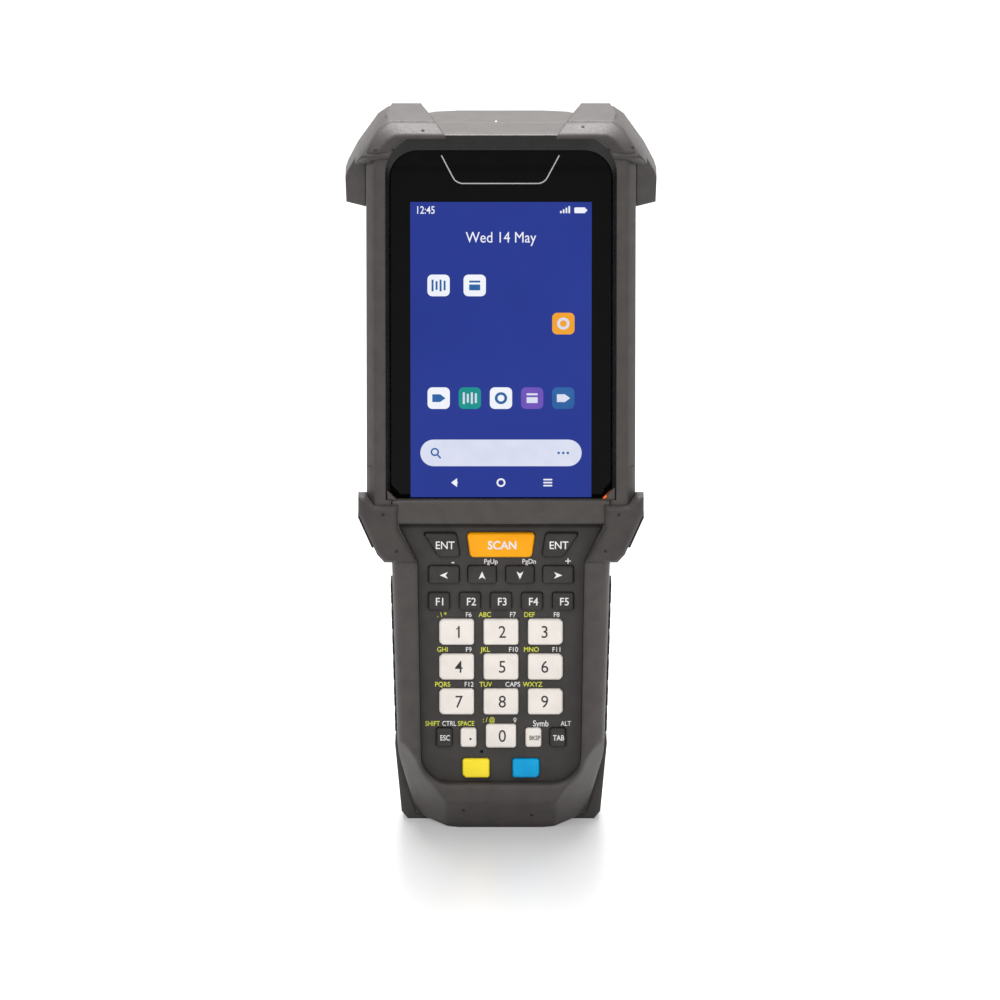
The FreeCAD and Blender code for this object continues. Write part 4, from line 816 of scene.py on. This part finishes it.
def draw_soft_keys(build, up, front):
    """Draw the back arrow, the home ring and the menu bars at the picture's foot."""
    plate(build, stroke(-13.2, up, -15.0, up + 0.1, 0.4), front)
    plate(build, [(-15.2, up), (-13.4, up + 1.4), (-13.4, up - 1.4)], front)
    for outline in ring_bars(0, up, 2.7, 0.5):
        plate(build, outline, front)
    menu, pitch = 14.3, 0.95
    for step in (-1, 0, 1):
        plate(build, rounded(menu, up + step * pitch, 2.7, 0.45, 0.1, 2), front)


# How far the date hangs below the picture's head, and the search field and the soft keys stand over
# its foot, in mm
DATE_DROP, FIELD_RISE, SOFT_KEY_RISE = 11.2, 14.0, 4.6
# Width of the frame line in mm
FRAME_LINE_WIDTH = 0.36


def draw_picture(settings):
    """Draw the lit picture, one piece for each of its colours, and the frame line over it."""
    front = front_of("display_glass")
    low, high = settings.screen_low / MM, settings.screen_high / MM
    half = settings.screen_width / MM / 2
    layers = {key: bmesh.new() for key in (
        "screen", "screen_white", "screen_pale", "screen_amber", "screen_teal", "screen_violet",
        "screen_slate", "silver_print", "marks",
    )}
    plate(layers["screen"], rounded(0, (low + high) / 2, 2 * half, high - low, 0.05, 2), front)
    on_screen = front + INK
    white, pale, marks = layers["screen_white"], layers["screen_pale"], layers["marks"]
    draw_status_row(white, half, high, on_screen)
    lettering(white, "Wed 14 May", 3.0, 0, high - DATE_DROP, on_screen, bold=0.0, narrow=0.85)
    size = settings.icon_size / MM
    for key, across, up, kind in ICONS:
        plate(layers[key], rounded(across, up, size, size, size * 0.22, 5), on_screen)
        for outline in icon_marks(kind, across, up, size * 0.9):
            plate(marks if key == "screen_white" else pale, outline, on_screen + INK)
    draw_search_field(pale, marks, low + FIELD_RISE, on_screen)
    draw_soft_keys(white, low + SOFT_KEY_RISE, on_screen)
    for (x1, z1), (x2, z2) in zip(FRAME_LINE, FRAME_LINE[1:]):
        plate(layers["silver_print"], stroke(x1, z1, x2, z2, FRAME_LINE_WIDTH), front)
    for key, build in layers.items():
        tone = "screen_slate" if key == "marks" else key
        add_piece("picture_" + key, to_mesh(build, key), BODY, tone)


def dress_display(settings):
    """Finish the glass and the status light and draw what is on them."""
    soften("display_glass", 0.25, "glass", steps=2)
    dress("status_light", "light")
    glass_corners(settings)
    draw_picture(settings)


# Keypad

# Legends on keys: words, height of capitals, and how far right of the key's middle, in mm
KEY_LEGENDS = {
    "key_enter_left": ("ENT", 2.15, 1.15), "key_enter_right": ("ENT", 2.15, -0.65),
    "key_f1": ("F1", 2.15, 0.4), "key_f2": ("F2", 2.15, 0.4), "key_f3": ("F3", 2.15, 0.4),
    "key_f4": ("F4", 2.15, 0.4), "key_f5": ("F5", 2.15, 0.4),
    "key_1": ("1", 3.4, 0.7), "key_2": ("2", 3.4, 0.4), "key_3": ("3", 3.4, -0.2),
    "key_4": ("4", 3.4, 0.7), "key_5": ("5", 3.4, 0.4), "key_6": ("6", 3.4, -0.2),
    "key_7": ("7", 3.4, 0.7), "key_8": ("8", 3.4, 0.4), "key_9": ("9", 3.4, -0.2),
    "key_0": ("0", 3.4, 0.4), "key_escape": ("ESC", 1.5, 0.3), "key_tab": ("TAB", 1.5, 0.2),
    "key_back": ("BKSP", 1.25, 0.4),
}

# Arrow keys, in degrees from pointing up
ARROWS = {"key_arrow_left": 90, "key_arrow_up": 0, "key_arrow_down": 180, "key_arrow_right": 270}

# Panel legends: words, place across in mm, and the key whose top they stand over
WHITE_LEGENDS = (
    ("-", -14.7, "key_arrow_left"), ("PgUp", -3.1, "key_arrow_up"),
    ("PgDn", 8.6, "key_arrow_down"), ("+", 20.5, "key_arrow_right"),
    ("F6", -9.9, "key_1"), ("F7", 3.6, "key_2"), ("F8", 17.0, "key_3"),
    ("F9", -9.9, "key_4"), ("F10", 3.8, "key_5"), ("F11", 17.1, "key_6"),
    ("F12", -9.8, "key_7"), ("CAPS", 3.6, "key_8"),
    ("CTRL", -15.9, "key_escape"), ("Symb", 12.2, "key_back"), ("ALT", 19.9, "key_tab"),
)
YELLOW_LEGENDS = (
    (". \\ *", -18.1, "key_1"), ("ABC", -4.9, "key_2"), ("DEF", 8.7, "key_3"),
    ("GHI", -17.9, "key_4"), ("JKL", -4.8, "key_5"), ("MNO", 9.3, "key_6"),
    ("PQRS", -17.9, "key_7"), ("TUV", -4.7, "key_8"), ("WXYZ", 9.7, "key_9"),
    ("SHIFT", -21.0, "key_escape"), ("SPACE", -10.7, "key_point"), (": / @", -3.7, "key_0"),
)

# Keys whose legends are set closer
LOW_ROW = ("key_escape", "key_point", "key_0", "key_back", "key_tab")
# Legends that stand larger than the rest
LARGER = {"Symb": 1.25, "+": 1.7, "-": 1.7}


def key_finish(node):
    """The finish of a key cap."""
    plain = {"key_scan": "key_orange", "key_yellow": "key_yellow", "key_blue": "key_blue"}
    if node in plain:
        return plain[node]
    pale = node[4:].isdigit() or node in ("key_point", "key_back")
    return "key_white" if pale else "key_black"


def arrow_head(across, up, size, turn):
    """Outline of a notched arrow head, turned in degrees from pointing up."""
    spots = ((0, 0.5), (0.42, -0.5), (0, -0.22), (-0.42, -0.5))
    angle = math.radians(turn)
    return [
        (across + size * (x * math.cos(angle) - z * math.sin(angle)),
         up + size * (x * math.sin(angle) + z * math.cos(angle)))
        for x, z in spots
    ]


def print_key(build, node):
    """Print on a key what it carries."""
    across, up = middle_of(node)
    front = front_of(node)
    if node in KEY_LEGENDS:
        words, height, shift = KEY_LEGENDS[node]
        narrow = 0.92 if height > 2 else 0.78
        bold = 0.02 if words.isdigit() else 0.03
        lettering(build, words, height, across + shift, up, front, bold, narrow)
        if words == "1":
            # The built-in font's one has no flag
            foot, tip = across + shift, up + height / 2 - 0.12
            plate(build, stroke(foot, tip, foot - 0.8, tip - 0.6, 0.3), front)
    elif node in ARROWS:
        plate(build, arrow_head(across, up, 2.5, ARROWS[node]), front)
    elif node == "key_scan":
        lettering(build, "SCAN", 2.25, across + 0.4, up, front, bold=0.08, narrow=0.95)
    elif node == "key_point":
        plate(build, disc(across + 0.6, up - 0.3, 0.7), front)


def dress_keys(settings):
    """Finish the keys and print what each one carries."""
    for node in frame["nodes"]:
        if not node.startswith("key_") or node == "key_domes":
            continue
        cap = key_finish(node)
        soften(node, settings.key_round / MM, cap, steps=2, corner=settings.key_corner / MM)
        build = bmesh.new()
        print_key(build, node)
        # The yellow and the blue key are bare
        if not build.verts:
            build.free()
            continue
        name = node + "_legend"
        ink = "ink_dark" if cap == "key_white" else "ink_white"
        add_piece(name, to_mesh(build, name), node + "_body", ink)


# Place across of the lamp's legend over the naught, in mm
LAMP_ACROSS = 4.3


def dress_panel(settings):
    """Finish the keypad panel and print its legends."""
    dress("keypad_panel", "panel")
    front = front_of("keypad_panel")
    height = settings.legend_height / MM

    def row_over(key):
        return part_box(key)[1][2] / MM + height / 2 + settings.legend_gap / MM

    for name, ink, legends in (
        ("legends_white", "ink_white", WHITE_LEGENDS),
        ("legends_yellow", "ink_yellow", YELLOW_LEGENDS),
    ):
        build = bmesh.new()
        for words, across, key in legends:
            narrow = 0.83 if key in LOW_ROW else 0.92
            lettering(build, words, height * LARGER.get(words, 1.0), across, row_over(key), front,
                      0.02, narrow)
        add_piece(name, to_mesh(build, name), BODY, ink)
    up = row_over("key_0")
    lamp = ring_bars(LAMP_ACROSS, up + 0.2, 1.0, 0.2, 16)
    lamp.append(rounded(LAMP_ACROSS, up - 0.6, 0.5, 0.3, 0.05, 2))
    plate_piece("legend_lamp", lamp, front, "ink_white")


# Back, foot and small parts

# Lenses behind the camera's window in mm: how far the camera's lies below the window's top and the
# flash's below it, their widths, and how far they stand proud
CAMERA_DROP, FLASH_DROP = 5.2, 9.5
CAMERA_WIDTH, FLASH_WIDTH = 4.6, 2.8
LENS_PROUD = 0.1 * MM
# Screws on each side in mm: across, depth and heights
SCREWS = ((34.4, 9.2, (119.0, 190.0)), (19.0, 13.2, (5.0,)))
SCREW_WIDTH, SCREW_HEIGHT = 3.5 * MM, 0.4 * MM
# Ribs on the battery in mm: how many, the first one's height over the battery's foot, their pitch
# and how deep they sit in it
RIB_COUNT, RIB_FIRST, RIB_PITCH, RIB_SUNK = 6, 8, 2.2, 0.1
RIB_LENGTH, RIB_HEIGHT = 34 * MM, 0.5 * MM


def dress_back():
    """Finish the scan window, camera, battery, latch, screws and contacts."""
    dress("scan_window", "window")
    dress("dock_contacts", "gold")
    dress("case_screws", "screw")
    dress("camera_module", "battery")
    soften("battery_pack", 0.5, "battery")
    soften("battery_latch", 0.25, "battery", steps=2)
    _, back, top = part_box("camera_module")[1]
    camera_up = top / MM - CAMERA_DROP
    for name, up, width, steps, key in (
        ("camera_lens", camera_up, CAMERA_WIDTH, 10, "lens"),
        ("flash_lens", camera_up - FLASH_DROP, FLASH_WIDTH, 8, "flash"),
    ):
        plate_piece(name, [disc(0, up, width, steps)], -back - LENS_PROUD, key,
                    LENS_PROUD)
    heads = [
        (side * across, depth, up)
        for across, depth, heights in SCREWS for side in (-1, 1) for up in heights
    ]
    scatter("screw_tops", stud_tree(), heads, "screw",
            {"Head Width": SCREW_WIDTH, "Head Height": SCREW_HEIGHT})
    low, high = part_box("battery_pack")
    ribs = [
        (0, high[1] / MM - RIB_SUNK, low[2] / MM + RIB_FIRST + RIB_PITCH * step)
        for step in range(RIB_COUNT)
    ]
    scatter("battery_ribs", rib_tree(), ribs, "battery",
            {"Rib Length": RIB_LENGTH, "Rib Height": RIB_HEIGHT})


def dress_inside():
    """Finish the pieces behind the panels."""
    for node, key in (
        ("display_gasket", "soft_seal"), ("display_module", "sheet_metal"),
        ("shell_seal", "soft_seal"), ("keypad_mat", "silicone"), ("key_domes", "sheet_metal"),
        ("keypad_board", "board"), ("main_board", "board"), ("scan_engine", "battery"),
        ("speaker", "battery"), ("vibration_motor", "sheet_metal"),
    ):
        dress(node, key)


# Stage

# Where the soft lights point, in metres
LIT_PLACE = Vector((0, 0, 0.11))
# Square soft lights: name, energy in watts and place in metres, all of one width
LIGHTS = (
    ("key_light", 9.0, (-0.5, -0.9, 1.1)),
    ("fill_light", 4.5, (0.9, -0.8, 0.7)),
    ("top_light", 44.0, (0.0, 0.42, 1.25)),
)
LIGHT_WIDTH = 0.9
# The camera's aim in metres: the middle of what the picture shows
AIM = Vector((-0.0003, 0, 0.1017))
# Half the floor's width in metres
FLOOR_HALF = 3.0
WHITE = (1, 1, 1, 1)


def make_lights():
    """Add the soft lights, all turned to the terminal."""
    for name, energy, place in LIGHTS:
        lamp = bpy.data.lights.new(name, "AREA")
        lamp.shape = "SQUARE"
        lamp.size = LIGHT_WIDTH
        lamp.energy = energy
        holder = new_object(name, lamp)
        holder.location = place
        holder.rotation_euler = (LIT_PLACE - Vector(place)).to_track_quat("-Z", "Y").to_euler()


def white_rays(tree):
    """A value of one for rays that see the backdrop directly, in gloss or through glass."""
    path = add_node(tree, "ShaderNodeLightPath")
    seen = path.outputs["Is Camera Ray"]
    for kind in ("Is Glossy Ray", "Is Transmission Ray"):
        seen = add_node(
            tree, "ShaderNodeMath", None, {0: seen, 1: path.outputs[kind]}, operation="MAXIMUM",
        ).outputs[0]
    return seen


def make_world(settings):
    """Surround the terminal with even light that looks white."""
    world = bpy.data.worlds.new("Pale studio")
    world.use_nodes = True
    tree = world.node_tree
    tree.nodes.clear()
    ambient = add_node(tree, "ShaderNodeBackground", {"Color": WHITE, "Strength": settings.ambient})
    backdrop = add_node(tree, "ShaderNodeBackground", {"Color": WHITE, "Strength": 1.0})
    choice = add_node(
        tree, "ShaderNodeMixShader", None,
        {0: white_rays(tree), 1: ambient.outputs[0], 2: backdrop.outputs[0]},
    )
    add_node(tree, "ShaderNodeOutputWorld", None, {"Surface": choice.outputs[0]})
    bpy.context.scene.world = world


def floor_material(settings):
    """Polished white board: seen white, with a blurred reflection of what stands on it."""
    material = blank_material("Polished white board")
    tree = material.node_tree
    surface = add_node(
        tree, "ShaderNodeBsdfPrincipled",
        {"Base Color": colour("#a8a8a8"), "Roughness": settings.floor_rough, "IOR": 2.8},
    )
    lift = add_node(tree, "ShaderNodeEmission", {"Color": WHITE, "Strength": settings.floor_lift})
    none = add_node(tree, "ShaderNodeEmission", {"Strength": 0.0})
    extra = add_node(
        tree, "ShaderNodeMixShader", None,
        {0: white_rays(tree), 1: none.outputs[0], 2: lift.outputs[0]},
    )
    both = add_node(
        tree, "ShaderNodeAddShader", None, {0: surface.outputs["BSDF"], 1: extra.outputs[0]},
    )
    add_node(tree, "ShaderNodeOutputMaterial", None, {"Surface": both.outputs[0]})
    return material


def make_floor(settings):
    """Lay the floor that the terminal stands on."""
    build = bmesh.new()
    bmesh.ops.create_grid(build, x_segments=1, y_segments=1, size=FLOOR_HALF)
    floor = new_object("floor", to_mesh(build, "floor"))
    floor.data.materials.append(floor_material(settings))


def make_camera(settings):
    """Set up the camera, far off and a little above."""
    lens = bpy.data.cameras.new("camera")
    lens.sensor_width = 36.0
    lens.lens = lens.sensor_width * settings.distance / settings.picture_width
    lens.clip_end = 100
    camera = new_object("camera", lens)
    angle = settings.elevation
    camera.location = AIM + settings.distance * Vector((0, -math.cos(angle), math.sin(angle)))
    camera.rotation_euler = (math.pi / 2 - angle, 0, 0)
    bpy.context.scene.camera = camera


def make_stage(settings):
    """Set up the pale surroundings, the floor, the soft lights and the camera."""
    bpy.context.scene.view_settings.view_transform = "Standard"
    make_world(settings)
    make_floor(settings)
    make_lights()
    make_camera(settings)


# Add-on classes

def length(name, description, size):
    """A setting in metres."""
    return bpy.props.FloatProperty(
        name=name, description=description, default=size, unit="LENGTH")


class TerminalSettings(bpy.types.PropertyGroup):
    """Sizes and levels that a user would change."""

    mark_width: length("Gate mark", "Width of the gate marks on the guards and the chin", 1.1 * MM)
    edge_round: length("Guard edge", "Radius of the rubber guards' edges", 0.9 * MM)
    grip_round: length("Grip edge", "Radius of the grips' and triggers' edges", 0.2 * MM)
    key_round: length("Key edge", "Radius on the rims of the key caps", 0.14 * MM)
    key_corner: length("Key corner", "Radius of the key caps' corners seen from ahead", 1.1 * MM)
    legend_height: length("Legend height", "Height of the capitals printed on the panel", 1.35 * MM)
    legend_gap: length("Legend gap", "Gap from a key's flange up to its legend", 0.1 * MM)
    corner_leg: length("Glass corner", "Leg of the case corners over the glass", 3.1 * MM)
    screen_width: length("Display width", "Width of the lit area", 55.2 * MM)
    screen_low: length("Display bottom", "Height of the lit area's lower edge", 106.2 * MM)
    screen_high: length("Display top", "Height of the lit area's upper edge", 199.2 * MM)
    icon_size: length("Icon size", "Width of an icon on the display", 6.8 * MM)
    ambient: bpy.props.FloatProperty(
        name="Ambient light", description="Strength of the even light from all round",
        default=0.45)
    floor_lift: bpy.props.FloatProperty(
        name="Floor lift", description="Light added to the floor where it is seen",
        default=0.28)
    floor_rough: bpy.props.FloatProperty(
        name="Floor roughness", description="Blur of the floor's reflection",
        default=0.34)
    distance: length("Camera distance", "Distance from the camera to the terminal", 5.0)
    picture_width: length("Picture width", "Width of the view at the terminal", 0.3063)
    elevation: bpy.props.FloatProperty(
        name="Camera elevation", description="Angle of the view above the horizon",
        default=math.radians(15.3), subtype="ANGLE")


def settings_of(context):
    """The terminal's settings on a scene."""
    return context.scene.terminal_settings


class TERMINAL_OT_case(bpy.types.Operator):
    """Finish the shells, guards and grips"""

    bl_idname = "terminal.case"
    bl_label = "Case and guards"

    def execute(self, context):
        dress_case(settings_of(context))
        return {"FINISHED"}


class TERMINAL_OT_display(bpy.types.Operator):
    """Finish the glass and draw the lit picture"""

    bl_idname = "terminal.display"
    bl_label = "Display"

    def execute(self, context):
        dress_display(settings_of(context))
        return {"FINISHED"}


class TERMINAL_OT_keys(bpy.types.Operator):
    """Finish the keys and their legends"""

    bl_idname = "terminal.keys"
    bl_label = "Keys"

    def execute(self, context):
        dress_keys(settings_of(context))
        return {"FINISHED"}


class TERMINAL_OT_panel(bpy.types.Operator):
    """Finish the keypad panel and its legends"""

    bl_idname = "terminal.panel"
    bl_label = "Keypad panel"

    def execute(self, context):
        dress_panel(settings_of(context))
        return {"FINISHED"}


class TERMINAL_OT_back(bpy.types.Operator):
    """Finish the back: window, camera, battery, latch, screws and contacts"""

    bl_idname = "terminal.back"
    bl_label = "Back"

    def execute(self, context):
        dress_back()
        return {"FINISHED"}


class TERMINAL_OT_inside(bpy.types.Operator):
    """Finish the pieces inside"""

    bl_idname = "terminal.inside"
    bl_label = "Inner pieces"

    def execute(self, context):
        dress_inside()
        return {"FINISHED"}


class TERMINAL_OT_stage(bpy.types.Operator):
    """Set up the floor, lights and camera"""

    bl_idname = "terminal.stage"
    bl_label = "Stage"

    def execute(self, context):
        make_stage(settings_of(context))
        return {"FINISHED"}


OPERATORS = (
    TERMINAL_OT_case, TERMINAL_OT_display, TERMINAL_OT_keys, TERMINAL_OT_panel, TERMINAL_OT_back,
    TERMINAL_OT_inside, TERMINAL_OT_stage,
)


class TERMINAL_PT_sidebar(bpy.types.Panel):
    """Lists the terminal's operators and settings"""

    bl_idname = "TERMINAL_PT_sidebar"
    bl_label = "Terminal"
    bl_space_type = "VIEW_3D"
    bl_region_type = "UI"
    bl_category = "Terminal"

    def draw(self, context):
        for operator in OPERATORS:
            self.layout.operator(operator.bl_idname)
        for name in TerminalSettings.__annotations__:
            self.layout.prop(settings_of(context), name)


def register():
    """Register the classes and the settings."""
    for entry in (TerminalSettings, *OPERATORS, TERMINAL_PT_sidebar):
        bpy.utils.register_class(entry)
    bpy.types.Scene.terminal_settings = bpy.props.PointerProperty(type=TerminalSettings)


def unregister():
    """Take the settings and the classes back out."""
    del bpy.types.Scene.terminal_settings
    for entry in reversed((TerminalSettings, *OPERATORS, TERMINAL_PT_sidebar)):
        bpy.utils.unregister_class(entry)


def main():
    """Dress the whole terminal."""
    register()
    make_finishes()
    for operator in OPERATORS:
        group, name = operator.bl_idname.split(".")
        getattr(getattr(bpy.ops, group), name)()


if __name__ == "__main__":
    main()
